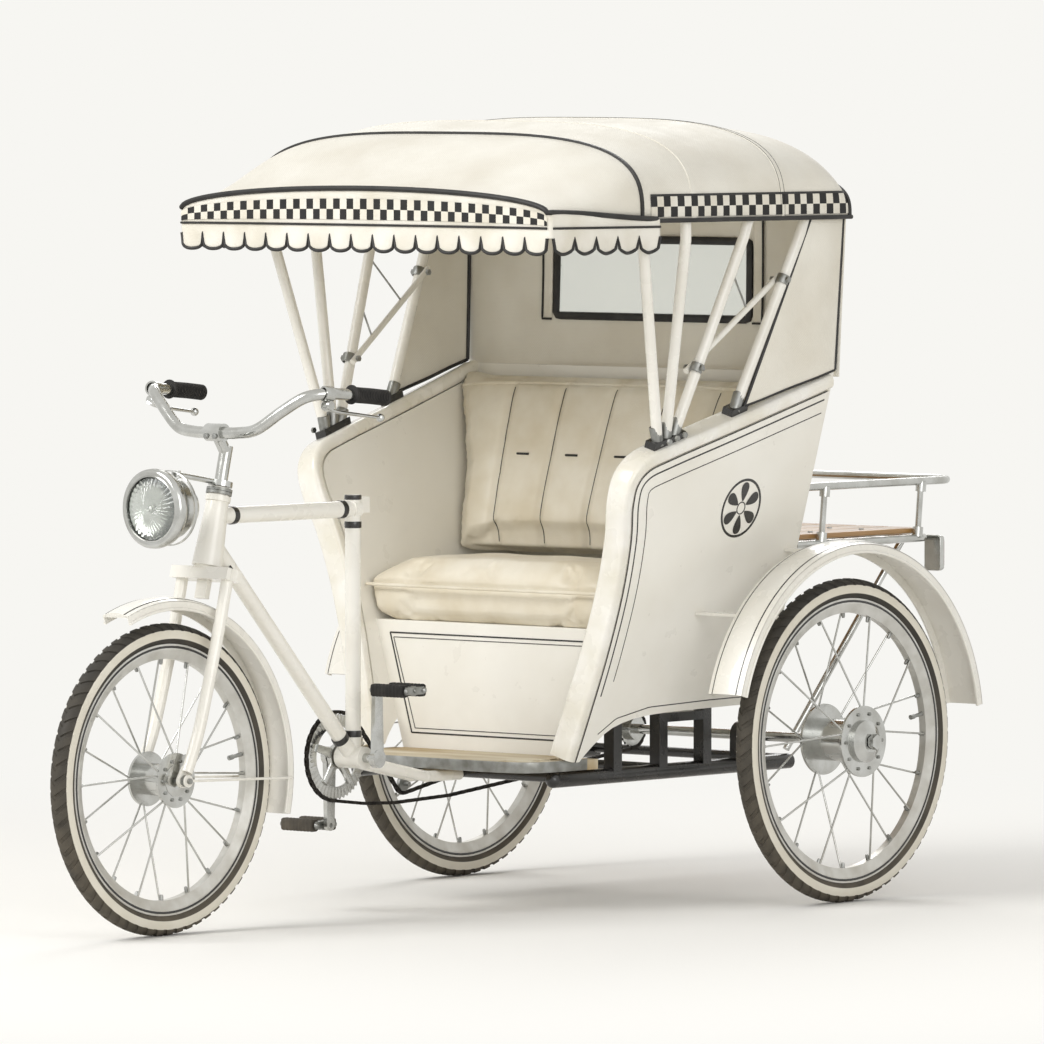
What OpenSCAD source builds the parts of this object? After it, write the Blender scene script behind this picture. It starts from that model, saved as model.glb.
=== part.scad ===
// Cycle rickshaw: a three-wheeled passenger cycle with a hooded two-seat body.
// Forward is -Y, the rider's left is +X, and the ground is Z = 0.
// Inside place(), Y is measured from the rear axle.

/* [Wheels] */
// Distance from the front hub to the rear axle
wheelbase = 1600; // [1450:10:1800]
// Distance between the middles of the rear tyres
track = 1110; // [1050:10:1250]
// Outer diameter of each rear tyre
rear_tyre_d = 710; // [640:2:760]
// Outer diameter of the front tyre
front_tyre_d = 660; // [600:2:700]
// Width of every tyre
tyre_w = 50; // [38:1:56]
// Number of spokes in each wheel
spoke_count = 20; // [16:4:28]
// Diameter of a spoke
spoke_d = 4.4; // [3:0.2:6]

/* [Hubs] */
// Radius of the front hub's flanges
front_flange_r = 58; // [45:1:75]
// Distance between the outsides of the front hub's flanges
front_hub_w = 86; // [70:1:100]
// Radius of a rear hub's flanges
rear_flange_r = 78; // [60:1:95]
// Distance between the outsides of a rear hub's flanges
rear_hub_w = 116; // [90:1:130]
// Diameter of the rear axle
rear_axle_d = 22; // [18:1:26]
// Diameter of the front axle
front_axle_d = 12; // [9:1:14]

/* [Cycle frame] */
// Lean of the steering axis from upright, in degrees
head_lean = 14; // [10:0.5:20]
// Height at which the steering axis is placed
head_z = 860; // [820:5:900]
// Distance of the steering axis ahead of the rear axle at that height
head_y = 1435; // [1380:5:1480]
// Height of the bottom bracket
bracket_z = 345; // [320:5:370]
// Distance of the bottom bracket ahead of the rear axle
bracket_y = 990; // [960:5:1020]
// Height of the open top of the seat tube
seat_tube_top_z = 910; // [860:5:960]
// Bore of the seat tube
seat_post_d = 27.2; // [25:0.1:31.8]
// Length of each crank
crank_l = 150; // [130:5:170]
// Radius of the chainring
chainring_r = 92; // [80:1:96]

/* [Body] */
// Height of the footboard's top
floor_z = 330; // [310:5:345]
// Half the body's outer width at the footboard
floor_half_w = 306; // [270:2:330]
// Outward lean of the side walls, in degrees
side_lean = 16; // [10:0.5:18]
// Thickness of a side wall
wall_t = 54; // [40:1:60]
// Depth of the rounded coaming on a side wall's edge
coaming_d = 30; // [22:1:40]
// Distance of the body's back ahead of the rear axle
back_y = 20; // [0:2:40]
// Height of the top of the seat box
seat_z = 612; // [580:2:640]
// Distance of the seat box's front ahead of the rear axle
seat_front_y = 540; // [500:5:560]
// Distance of the footboard's front edge ahead of the rear axle
footboard_front_y = 748; // [730:2:770]

/* [Hood] */
// Height of the hood's crown
hood_z = 1714; // [1640:2:1760]
// Half the width of the hood
hood_half_w = 556; // [540:2:580]
// Height of the hood's side hem
hem_z = 1500; // [1460:5:1520]
// Distance of the visor's front edge ahead of the rear axle
visor_y = 957; // [900:5:1000]
// Diameter of the hood's tubular bows
bow_d = 24; // [16:1:25]
// Thickness of the hood's cloth and lining
hood_t = 6; // [4:1:10]

/* [Luggage rack] */
// Half the distance between the rack's side rails
rack_half_w = 430; // [380:5:450]
// Distance of the rack's rear rail behind the rear axle
rack_rear_y = 560; // [500:5:620]
// Height of the rack's guard rail
guard_z = 905; // [880:5:930]
// Height of the rack's platform
platform_z = 800; // [780:5:820]
// Diameter of the rack's tubes
rack_tube_d = 18; // [14:1:22]

/* [Hidden] */
$fn = 48;
run = 0.05;             // radial clearance of a running fit
cut = 1;                // how far a cutting tool passes a face

// wheels
rear_r = rear_tyre_d / 2;
front_r = front_tyre_d / 2;
tyre_h = 0.86 * tyre_w; // from the tread down to the rim's edge
rim_h = 32;
rim_w = 36;
hub_wall = 6;           // thickness of a hub flange
spoke_bite = 3;         // how deep a spoke goes into the rim

// where the vehicle's ends are, and the shift that centres it on the origin
front_end = wheelbase + front_r;
rear_end = rack_rear_y + rack_tube_d / 2;
axle_y = (front_end - rear_end) / 2;

// steering
steerer_d = 30;
head_top_d = 48;
head_foot_d = 66;
head_up = 52;           // head tube above its reference point, along the axis
head_down = 88;         // and below it
crown_h = 26;
blade_d = 26;
blade_x = 64;           // blades from the middle at the crown
dropout_x = 60;         // and at the axle
headset_h = 36;

// cycle frame
top_tube_z = 880;
top_tube_d = 36;
down_tube_d = 34;
seat_tube_d = 34;
seat_tube_lean = 0;     // degrees
shell_w = 70;           // width of the bottom bracket's shell
shell_d = 48;
spindle_d = 20;
chain_x = -49;          // the chain runs on the rider's right
chain_w = 9;
chain_h = 8;
sprocket_r = 40;
chain_gap = 1.2;        // between the chain and the wheels that it wraps

// chassis
rail_x = 280;
rail_z = 290;            // middle of the rails, clear under the footboard
rail_d = 34;
cross_z = rail_z + 6;
rail_rear_y = 150;      // behind the rear axle
cross_d = 22;
spine_x = 22;
spine_d = 24;

// body
tan_side = tan(side_lean);
wall_x = wall_t / cos(side_lean);
wall_foot_z = 428;      // underside of the side walls behind the footwell
panel_t = 18;
footboard_t = 22;
cushion_h = 118;
body_gap = 0.4;         // soft pieces stand this far off their neighbours
arm_rear_z = 1152;      // top of the armrest at the back
back_top_z = 1160;

// hood
pivot_y = -516;
pivot_z = 1016;
rear_foot_y = -300;
hood_rear_y = 22;       // rear of the roof
bow_top = [["front", -668], ["upright", -514], ["middle", -302], ["rear", -109]]; // name, Y at the hem's height
bow_side_x = 534;       // and at the hem
scallop_w = 64;
scallop_h = 54;
valance_t = 4;

// mudguards
guard_w = 92;
guard_t = 3;
guard_r = rear_r + 76;  // outside of a rear mudguard
front_guard_w = 72;
front_guard_r = front_r + 48;
stay_x = 60 + 4 + 11 + 2; // the front mudguard's stays, outside the axle nuts
lip_h = 20;

board_half_w = floor_half_w - 12;   // the floor stops short of the walls' rounded feet
function outer_x(z) = floor_half_w + (z - floor_z) * tan_side;
function inner_x(z) = outer_x(z) - wall_x;
function unit(v) = v / norm(v);
function arc(cx, cy, r, a0, a1, n) = [for (i = [0:n]) let (a = a0 + (a1 - a0) * i / n) [cx + r * cos(a), cy + r * sin(a)]];
function mix(a, b, t) = a + (b - a) * t;
function reverse(v) = [for (i = [len(v) - 1:-1:0]) v[i]];
function smooth(t) = t * t * (3 - 2 * t);
function tangent(p, i) = unit(p[min(i + 1, len(p) - 1)] - p[max(i - 1, 0)]);
// an open 2D line moved to its right by d
function shifted(p, d) = [for (i = [0:len(p) - 1]) let (t = tangent(p, i)) p[i] + d * [t[1], -t[0]]];
// points of the Catmull-Rom curve through p, n to a span
function curve(p, n) = concat([for (i = [0:len(p) - 2]) for (k = [0:n - 1]) let (
        t = k / n,
        a = p[max(i - 1, 0)], b = p[i], c = p[i + 1], d = p[min(i + 2, len(p) - 1)]
    ) 0.5 * (2 * b + (c - a) * t + (2 * a - 5 * b + 4 * c - d) * t * t + (3 * b - a - 3 * c + d) * t * t * t)],
    [p[len(p) - 1]]);

module place() translate([0, axle_y, 0]) children();
// height of the coaming's top at a station y behind the shoulder
function coaming_top(y) = lookup(y, [for (i = [28:len(edge_line) - 1]) edge_line[i]]);
module both_sides() { children(); mirror([1, 0, 0]) children(); }
// a cylinder along X, centred on x
module across(x, d, w) translate([x, 0, 0]) rotate([0, 90, 0]) cylinder(d = d, h = w, center = true);
// a straight round bar from a to b
module bar(a, b, d) {
    v = b - a;
    translate(a) rotate([0, acos(v[2] / norm(v)), atan2(v[1], v[0])]) cylinder(d = d, h = norm(v));
}
// a round tube of radius r along the points of path; ref is never parallel to the path
module sweep(path, r, ref, sides = 14) {
    n = len(path);
    points = [for (i = [0:n - 1]) let (t = tangent(path, i), s = unit(cross(t, ref)), u = cross(s, t))
        for (k = [0:sides - 1]) path[i] + r * (cos(360 * k / sides) * s + sin(360 * k / sides) * u)];
    faces = concat(
        [[for (k = [sides - 1:-1:0]) k]],
        [for (i = [0:n - 2]) for (k = [0:sides - 1]) let (j = (k + 1) % sides)
            [i * sides + k, i * sides + j, (i + 1) * sides + j, (i + 1) * sides + k]],
        [[for (k = [0:sides - 1]) (n - 1) * sides + k]]);
    polyhedron(points, faces, convexity = 6);
}
// puts a drawing in (Y, Z), extruded along X, from x0 to x1
module slab_x(x0, x1) translate([x0, 0, 0]) rotate([90, 0, 90]) linear_extrude(x1 - x0) children();
// puts a drawing in (X, Z), extruded along Y, from y0 to y1
module slab_y(y0, y1) translate([0, y1, 0]) rotate([90, 0, 0]) linear_extrude(y1 - y0) children();

// ---- wheels ----
module at_front_wheel() translate([0, -wheelbase, front_r]) children();
module at_left_wheel() translate([track / 2, 0, rear_r]) children();
module at_right_wheel() translate([-track / 2, 0, rear_r]) children();
module turned() rotate([0, 90, 0]) rotate_extrude($fn = 96) children();

module tyre(r) color("black") turned() difference() {
    translate([r - tyre_w / 2, 0]) circle(d = tyre_w);
    translate([0, -tyre_w]) square([r - tyre_h, 2 * tyre_w]);
}
module rim(r) color("silver") turned() {
    bead = r - tyre_h;
    polygon([[bead, -rim_w / 2], [bead, rim_w / 2], [bead - 12, rim_w / 2], [bead - rim_h, rim_w / 4],
        [bead - rim_h, -rim_w / 4], [bead - 12, -rim_w / 2]]);
}
module spokes(r, flange_r, hub_w) {
    rim_r = r - tyre_h - rim_h + spoke_bite;
    for (i = [0:spoke_count - 1]) {
        side = i % 2 == 0 ? 1 : -1;
        a = 360 * i / spoke_count;
        lead = (i % 4 < 2 ? 1 : -1) * 16;   // crossing pairs
        foot = flange_r - 9;
        bar([side * (hub_w / 2 - hub_wall / 2), foot * cos(a + lead), foot * sin(a + lead)],
            [side * 5, rim_r * cos(a), rim_r * sin(a)], spoke_d);
    }
}
// a flanged hub with domed ends, bored for its axle
module hub(r, flange_r, hub_w, barrel_r, bore_d, cap) color("silver") {
    difference() {
        union() {
            spokes(r, flange_r, hub_w);
            turned() polygon(concat(
                [[0, -hub_w / 2 - cap], [barrel_r * 0.5, -hub_w / 2 - cap], [barrel_r, -hub_w / 2 - cap * 0.4],
                 [barrel_r, -hub_w / 2], [flange_r, -hub_w / 2], [flange_r, -hub_w / 2 + hub_wall],
                 [barrel_r, -hub_w / 2 + hub_wall]],
                [[barrel_r, hub_w / 2 - hub_wall], [flange_r, hub_w / 2 - hub_wall], [flange_r, hub_w / 2],
                 [barrel_r, hub_w / 2], [barrel_r, hub_w / 2 + cap * 0.4], [barrel_r * 0.5, hub_w / 2 + cap],
                 [0, hub_w / 2 + cap]]));
        }
        across(0, bore_d, 2 * hub_w);
    }
}
rear_cap = 22;
front_cap = 3;
rear_barrel_r = 46;
front_barrel_r = 34;

module front_tyre() place() at_front_wheel() tyre(front_r);
module front_rim() place() at_front_wheel() rim(front_r);
module front_hub() place() at_front_wheel()
    hub(front_r, front_flange_r, front_hub_w, front_barrel_r, front_axle_d + 2 * run, front_cap);
module left_tyre() place() at_left_wheel() tyre(rear_r);
module left_rim() place() at_left_wheel() rim(rear_r);
module left_hub() place() at_left_wheel()
    hub(rear_r, rear_flange_r, rear_hub_w, rear_barrel_r, rear_axle_d + 2 * run, rear_cap);
module right_tyre() place() at_right_wheel() tyre(rear_r);
module right_rim() place() at_right_wheel() rim(rear_r);
module right_hub() place() at_right_wheel()
    hub(rear_r, rear_flange_r, rear_hub_w, rear_barrel_r, rear_axle_d, rear_cap);

// the live axle, fast in the right hub, with its chain sprocket and end nuts
module rear_axle() color("silver") place() translate([0, 0, rear_r]) {
    hub_out = track / 2 + rear_hub_w / 2 + rear_cap;
    across(0, rear_axle_d, 2 * hub_out + 16);
    across(chain_x, 2 * (sprocket_r - chain_gap), chain_w - 3);
    across(chain_x, 52, 34);
    for (s = [-1, 1]) translate([s * (hub_out + 8 + 1), 0, 0]) rotate([0, 90, 0])
        cylinder(d = 34, h = 14, center = true, $fn = 6);
}

// ---- steering ----
head_point = [0, -head_y, head_z];
function on_axis(s) = head_point + s * [0, sin(head_lean), cos(head_lean)];
// the steering axis as local Z, with its origin at the reference point
module on_steering() translate(head_point) rotate([-head_lean, 0, 0]) children();
hub_pos = [0, -wheelbase, front_r];
// the front hub in the steering axis's own frame
hub_s = (hub_pos[1] + head_y) * sin(head_lean) + (front_r - head_z) * cos(head_lean);
hub_f = (hub_pos[1] + head_y) * cos(head_lean) - (front_r - head_z) * sin(head_lean);
crown_s = -head_down - 4 - crown_h;
blade_line = [[blade_x, 0, crown_s + 6], [blade_x, 0, crown_s - 60], [blade_x - 1, -1, crown_s - 150],
    [blade_x, hub_f * 0.28, hub_s + 130], [blade_x + 1, hub_f * 0.66, hub_s + 52], [blade_x + 1, hub_f * 0.9, hub_s + 18]];

module fork() color("white") place() on_steering() {
    translate([0, 0, crown_s]) cylinder(d = steerer_d, h = head_up + headset_h - crown_s + 8);
    translate([0, 0, crown_s + crown_h - 2]) cylinder(d1 = 60, d2 = 54, h = 6 - run);
    difference() {
        translate([-blade_x - 17, -22, crown_s]) cube([2 * blade_x + 34, 44, crown_h]);
        for (s = [-1, 1]) translate([s * (blade_x + 34), 0, crown_s - cut]) cylinder(d = 40, h = crown_h + 2 * cut);
    }
    both_sides() {
        sweep(curve(blade_line, 4), blade_d / 2, [0, 1, 0.001], 16);
        difference() {
            hull() {
                translate([dropout_x, hub_f, hub_s]) across(0, 30, 8);
                translate([dropout_x, hub_f * 0.86, hub_s + 24]) across(0, 22, 8);
            }
            translate([dropout_x, hub_f, hub_s]) across(0, front_axle_d, 60);
        }
    }
}
module front_axle() color("silver") place() translate(hub_pos) {
    axle_half = stay_x + 8;
    across(0, front_axle_d, 2 * axle_half);
    for (s = [-1, 1]) translate([s * (dropout_x + 4 + 5.5), 0, 0]) rotate([0, 90, 0])
        cylinder(d = 24, h = 11, center = true, $fn = 6);
}
clamp = [0, -1426, 1057];
bar_d = 25;
bar_line = [clamp, clamp + [60, 0, 0], [112, -1422, 1066], [168, -1406, 1104], [214, -1384, 1134],
    [246, -1350, 1142], [257, -1310, 1140], [262, -1250, 1136], [264, -1188, 1130]];
half_bar = curve(bar_line, 4);
module handlebar() color("silver") place()
    sweep(concat([for (p = reverse([for (i = [1:len(half_bar) - 1]) half_bar[i]])) [-p[0], p[1], p[2]]], half_bar),
        bar_d / 2, [0, 0.35, 1], 14);
module stem() color("silver") place() difference() {
    union() {
        bar(on_axis(head_up + headset_h + 8), on_axis(head_up + headset_h + 84), 28);
        bar(on_axis(head_up + headset_h + 70), clamp, 26);
        translate(clamp) across(0, 38, 46);
    }
    translate(clamp) across(0, bar_d, 60);
}
grip_l = 125;
module grips() color("black") place() both_sides() {
    a = [262.6, -1232, 1134.4];
    b = [264, -1188, 1130];
    d = unit(b - a);
    difference() {
        bar(b - d * (grip_l - 8), b + d * 8, 34);
        bar(b - d * (grip_l + 5), b + d * 0.5, bar_d + 4);
    }
}
module brake_levers() color("silver") place() both_sides() {
    sweep(curve([[250, -1362, 1114], [258, -1330, 1104], [264, -1270, 1096], [266, -1205, 1088]], 4), 5.5, [1, 0, 0], 10);
    translate([266, -1203, 1088]) sphere(d = 19);
    translate([250, -1352, 1117]) sphere(d = 22);
}
lamp_pos = [0, -1612, 902];
lamp_r = 78;
lamp_l = 128;
module headlamp() color("silver") place() translate(lamp_pos) rotate([90, 0, 0]) rotate_extrude()
    polygon([[0, -lamp_l + 22], [22, -lamp_l + 20], [46, -lamp_l + 46], [66, -lamp_l + 84], [70, -6], [lamp_r, -4],
        [lamp_r, 16], [68, 20], [68, 4], [0, 4]]);
module headlamp_lens() color("white") place() translate(lamp_pos) rotate([90, 0, 0]) rotate_extrude()
    polygon([[0, 4.3], [67.6, 4.3], [67.6, 16], [50, 24], [28, 29], [0, 31]]);
module lamp_bracket() color("silver") place() {
    on_steering() difference() {
        translate([0, 0, head_up + headset_h - 4]) cylinder(d = 52, h = 12);
        translate([0, 0, head_up]) cylinder(d = steerer_d, h = 90);
    }
    seat = lamp_pos + [0, 60, 64];
    bar(on_axis(head_up + headset_h + 8) + [0, -22, 0], seat + [0, 0, 6], 12);
    translate(seat - [0, 0, 2]) cylinder(d = 20, h = 16);
}
// a sector of a turned drawing about X: angles in degrees from straight up, positive to the rear
module guard_sector(a0, a1) rotate([180 - a1, 0, 0]) rotate([0, 90, 0]) rotate_extrude(angle = a1 - a0, $fn = 96)
    children();
module guard_profile(r, w) {
    translate([r - guard_t, -w / 2]) square([guard_t, w]);
    for (s = [0, 1]) mirror([0, s]) translate([r - lip_h, w / 2 - guard_t]) square([lip_h, guard_t]);
}
module front_mudguard() color("white") place() {
    at_front_wheel() guard_sector(-22, 104) guard_profile(front_guard_r, front_guard_w);
    // stays to the axle, and the tongue under the crown
    both_sides() at_front_wheel() {
        bar([stay_x, 10, 0], [front_guard_w / 2 + 2, front_guard_r - 8, -14], 6);
        translate([stay_x, 0, 0]) difference() {
            across(0, 26, 4);
            across(0, front_axle_d, 9);
        }
    }
    on_steering() translate([-15, -7, crown_s - 40]) cube([30, 14, 39.8]);
}

// ---- cycle frame ----
seat_foot = [0, -bracket_y, bracket_z];
function seat_tube_at(z) = seat_foot + [0, (z - bracket_z) * tan(seat_tube_lean), z - bracket_z];
// where the spine tubes level out under the footboard
spine_bend = [spine_x, -footboard_front_y - 30, rail_z + 3];
module main_frame() color("white") place() difference() {
    union() {
        on_steering() translate([0, 0, -head_down]) cylinder(d1 = head_foot_d, d2 = head_top_d, h = head_down + head_up);
        on_steering() translate([0, 0, head_up]) cylinder(d = 54, h = 12);
        on_steering() translate([0, 0, head_up + 12]) cylinder(d = 46, h = headset_h - 18);
        bar([0, -head_y + 10, top_tube_z], seat_tube_at(top_tube_z), top_tube_d);
        bar(on_axis(-head_down + 56), seat_foot, down_tube_d);
        bar(seat_foot, seat_tube_at(seat_tube_top_z), seat_tube_d);
        translate(seat_tube_at(top_tube_z)) rotate([-90, 0, 0]) cylinder(d = top_tube_d + 6, h = 22, center = true);
        translate(seat_foot) across(0, shell_d, shell_w);
        // twin spine tubes back to the chassis
        both_sides() {
            bar([spine_x, -bracket_y + 4, bracket_z - 8], spine_bend, spine_d);
            translate(spine_bend) sphere(d = spine_d + 2);
            bar(spine_bend, [spine_x, -655 - cross_d / 2 - 0.5, rail_z + 2], spine_d);
        }
        // clamp ears behind the seat tube
        translate(seat_tube_at(top_tube_z) + [0, 24, 8]) cube([22, 36, 34], center = true);
    }
    on_steering() translate([0, 0, -head_down - cut]) cylinder(d = steerer_d + 2 * run, h = 300);
    translate(seat_foot) across(0, spindle_d + 2 * run, shell_w + 2 * cut);
    bar(seat_tube_at(seat_tube_top_z - 150), seat_tube_at(seat_tube_top_z + 10), seat_post_d);
}
module crankset() color("silver") place() translate(seat_foot) {
    crank_x = shell_w / 2 + 34;
    across(0, spindle_d, 2 * crank_x + 14);
    for (s = [-1, 1]) {
        translate([s * crank_x, 0, 0]) across(0, 40, 14);
        difference() {
            hull() {
                translate([s * crank_x, 0, 0]) across(0, 30, 12);
                translate([s * crank_x, 0, s * crank_l]) across(0, 24, 10);
            }
            translate([s * crank_x, 0, s * crank_l]) across(0, 10, 20);
        }
    }
}
module chainring() color("silver") place() translate(seat_foot) difference() {
    union() {
        across(chain_x, 2 * (chainring_r - chain_gap), chain_w - 4);
        across(chain_x + 4, 56, 10);
    }
    across(chain_x, spindle_d, 60);
    for (i = [0:4]) rotate([i * 72, 0, 0]) translate([0, 0, chainring_r * 0.62]) across(chain_x, 34, 40);
}
pedal_in = shell_w / 2 + 34 + 12;
pedal_w = 96;
module pedal(s) color("white") place() translate(seat_foot + [0, 0, s * crank_l]) {
    across(s * (pedal_in - 6 + (pedal_w - 6) / 2), 9.9, pedal_w + 18);
    difference() {
        union() {
            for (y = [-1, 1]) translate([s * (pedal_in + pedal_w / 2), y * 29, 0]) cube([pedal_w, 24, 28], center = true);
            for (x = [2, pedal_w - 2]) translate([s * (pedal_in + x), 0, 0]) cube([4, 60, 18], center = true);
            across(s * (pedal_in + pedal_w / 2), 20, pedal_w);
        }
    }
}
module left_pedal() pedal(1);
module right_pedal() pedal(-1);

// the chain's loop: over the chainring, under the idler so that it clears the footboard, and round the sprocket
ring_c = [-bracket_y, bracket_z];
sprocket_c = [0, rear_r];
idler_r = 16;
idler_c = [-footboard_front_y - 24, floor_z - footboard_t - 34];
ring_pitch = chainring_r + chain_h / 2;
sprocket_pitch = sprocket_r + chain_h / 2;
idler_pitch = idler_r + chain_h / 2 + chain_gap;
function heading(a, b) = atan2(b[1] - a[1], b[0] - a[0]);
over_ring = heading(ring_c, idler_c) + acos((ring_pitch + idler_pitch) / norm(idler_c - ring_c));
under_idler = heading(idler_c, sprocket_c) - acos((idler_pitch + sprocket_pitch) / norm(sprocket_c - idler_c));
chain_path = concat(
    arc(ring_c[0], ring_c[1], ring_pitch, 264, over_ring, 20),
    arc(idler_c[0], idler_c[1], idler_pitch, over_ring - 180, under_idler, 5),
    arc(sprocket_c[0], sprocket_c[1], sprocket_pitch, under_idler + 180, -84, 14),
    [[-180, 290], [-400, 262], [-620, 240], [-800, 234], [-900, 238]]);
function loop_normal(p, i) = let (n = len(p), t = unit(p[(i + 1) % n] - p[(i + n - 1) % n])) [t[1], -t[0]];
function loop_offset(p, d) = [for (i = [0:len(p) - 1]) p[i] + d * loop_normal(p, i)];
module chain() color("dimgray") place() slab_x(chain_x - chain_w / 2, chain_x + chain_w / 2) difference() {
    polygon(loop_offset(chain_path, -chain_h / 2));
    polygon(loop_offset(chain_path, chain_h / 2));
}
module chain_idler() color("dimgray") place() {
    translate([0, idler_c[0], idler_c[1]]) {
        across(chain_x, 2 * idler_r, chain_w);
        bar([chain_x - 6, 0, 0], [-spine_x - 8, 0, 0], 10);
    }
}

// ---- chassis ----
// posts under the side walls: distance behind the axle, height of the top
posts = [[-455, wall_foot_z - 26], [-300, wall_foot_z - 10], [-150, wall_foot_z - 6]];
module chassis() color("white") place() {
    both_sides() {
        bar([rail_x, -655, rail_z], [rail_x, rail_rear_y, rail_z], rail_d);
        translate([rail_x, -655, rail_z]) sphere(d = rail_d);
        for (p = posts) translate([rail_x - 14, p[0] - 14, rail_z]) cube([28, 28, p[1] - rail_z]);
        // bearer that carries the side wall
        translate([rail_x - 14, -314, wall_foot_z - 30]) cube([28, 178, 20]);
    }
    for (y = [-655, -285, 130]) bar([-rail_x, y, cross_z], [rail_x, y, cross_z], cross_d);
}
module axle_bearings() color("dimgray") place() both_sides() difference() {
    hull() {
        translate([rail_x - 22, -30, rail_z + rail_d / 2 - 3]) cube([44, 60, 5]);
        translate([rail_x, 0, rear_r]) across(0, 58, 44);
    }
    translate([rail_x, 0, rear_r]) across(0, rear_axle_d + 2 * run, 60);
    bar([rail_x, -80, rail_z], [rail_x, 80, rail_z], rail_d);
}

// ---- body ----
// the side wall's front and top edge, as (Y, Z), from the foot up and back to the rear
edge_line = curve([[-640, floor_z + 1.5], [-626, 430], [-611, 560], [-606, 690], [-616, 800], [-636, 880], [-634, 940],
    [-596, 984], [-516, 1012], [-300, 1072], [-back_y - 0.3, arm_rear_z]], 4);
// a drawing in (Y, Z) laid on the leaning wall: its Z becomes the length up the slope
function up_slope(p) = [p[0], (p[1] - floor_z) / cos(side_lean)];
module on_wall(t0, t1) multmatrix([
        [0, sin(side_lean), cos(side_lean), floor_half_w],
        [1, 0, 0, 0],
        [0, cos(side_lean), -sin(side_lean), floor_z],
        [0, 0, 0, 1]])
    translate([0, 0, t0]) linear_extrude(t1 - t0) children();
wall_edge = shifted(edge_line, coaming_d);
foot_line = curve([[-back_y, wall_foot_z], [-200, wall_foot_z - 2], [-400, wall_foot_z - 8], [-510, 398],
    [-570, 356], wall_edge[0] + [12, 0]], 3);
module side_wall() place() on_wall(-wall_t, 0)
    polygon([for (p = concat([for (q = wall_edge) if (q[0] < -back_y) q],
        [[-back_y, wall_edge[len(wall_edge) - 1][1] - 3]], foot_line)) up_slope(p)]);
module coaming() place() on_wall(-wall_t - 3, 3)
    polygon([for (p = concat(edge_line, reverse(wall_edge))) up_slope([min(p[0], -back_y - 0.3), p[1]])]);
module left_side_wall() color("white") side_wall();
module right_side_wall() color("white") mirror([1, 0, 0]) side_wall();
module left_coaming() color("white") coaming();
module right_coaming() color("white") mirror([1, 0, 0]) coaming();

module footboard() color("white") place()
    translate([0, 0, floor_z - footboard_t]) linear_extrude(footboard_t)
        polygon([[-200, -footboard_front_y], [200, -footboard_front_y], [board_half_w - 18, -footboard_front_y + 30],
            [board_half_w, -640], [board_half_w, -seat_front_y + panel_t], [-board_half_w, -seat_front_y + panel_t],
            [-board_half_w, -640], [-board_half_w + 18, -footboard_front_y + 30]]);
module seat_box() color("white") place() {
    slab_y(-seat_front_y, -seat_front_y + panel_t)
        polygon([[-inner_x(floor_z), floor_z], [inner_x(floor_z), floor_z], [inner_x(seat_z), seat_z], [-inner_x(seat_z), seat_z]]);
    slab_y(-seat_front_y, -back_y)
        polygon([[-inner_x(seat_z - panel_t), seat_z - panel_t], [inner_x(seat_z - panel_t), seat_z - panel_t],
            [inner_x(seat_z), seat_z], [-inner_x(seat_z), seat_z]]);
}
module back_panel() color("white") place() slab_y(-back_y, -back_y + panel_t)
    polygon([[-outer_x(wall_foot_z), wall_foot_z], [outer_x(wall_foot_z), wall_foot_z],
        [outer_x(back_top_z) - 14, back_top_z], [-outer_x(back_top_z) + 14, back_top_z]]);
cushion_top = seat_z + cushion_h;
module seat_cushion() color("ivory") place() intersection() {
    slab_y(-seat_front_y - 26, -225)
        polygon([for (s = [-1, 1]) for (z = s < 0 ? [cushion_top + 22, seat_z + body_gap] : [seat_z + body_gap, cushion_top + 22])
            [s * (inner_x(z) - 4), z]]);
    slab_x(-600, 600) polygon(concat(
        [[-225, seat_z + body_gap], [-seat_front_y - 14, seat_z + body_gap], [-seat_front_y - 24, seat_z + 30]],
        [[-seat_front_y - 26, cushion_top - 26], [-seat_front_y - 4, cushion_top - 4]],
        [[-420, cushion_top + 18], [-300, cushion_top + 18], [-225, cushion_top + 8]]));
}
module seat_back() color("ivory") place() intersection() {
    slab_y(-260, -back_y)
        polygon([for (s = [-1, 1]) for (z = s < 0 ? [1158, seat_z + body_gap] : [seat_z + body_gap, 1158])
            [s * (inner_x(z) - 4), z]]);
    slab_x(-600, 600) polygon([[-back_y - body_gap, seat_z + body_gap], [-224, seat_z + body_gap],
        [-224, cushion_top + 20], [-196, 830], [-104, 1090], [-80, 1140], [-56, 1158], [-back_y - body_gap, 1158]]);
}

// ---- hood ----
// half-width, hem height, crown height and squareness of the roof at a station y; t runs 0 at the visor's edge to 1
crown_line = curve([[-visor_y, 1566], [-840, 1622], [-720, 1674], [-600, 1702], [-450, hood_z - 2], [-250, hood_z],
    [-110, hood_z - 6], [-50, 1690], [-8, 1655], [hood_rear_y, 1600]], 3);
function visor_t(y) = smooth(min(1, max(0, (y + visor_y) / 300)));
function roof_w(y) = mix(hood_half_w - 32, hood_half_w, visor_t(y));
function roof_hem(y) = mix(1518, hem_z, smooth(min(1, max(0, (y + visor_y) / 340))));
function roof_n(y) = mix(2, 3.3, visor_t(y));
roof_sides = 14;
function signed_power(v, e) = sign(v) * pow(abs(v), e);
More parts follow.
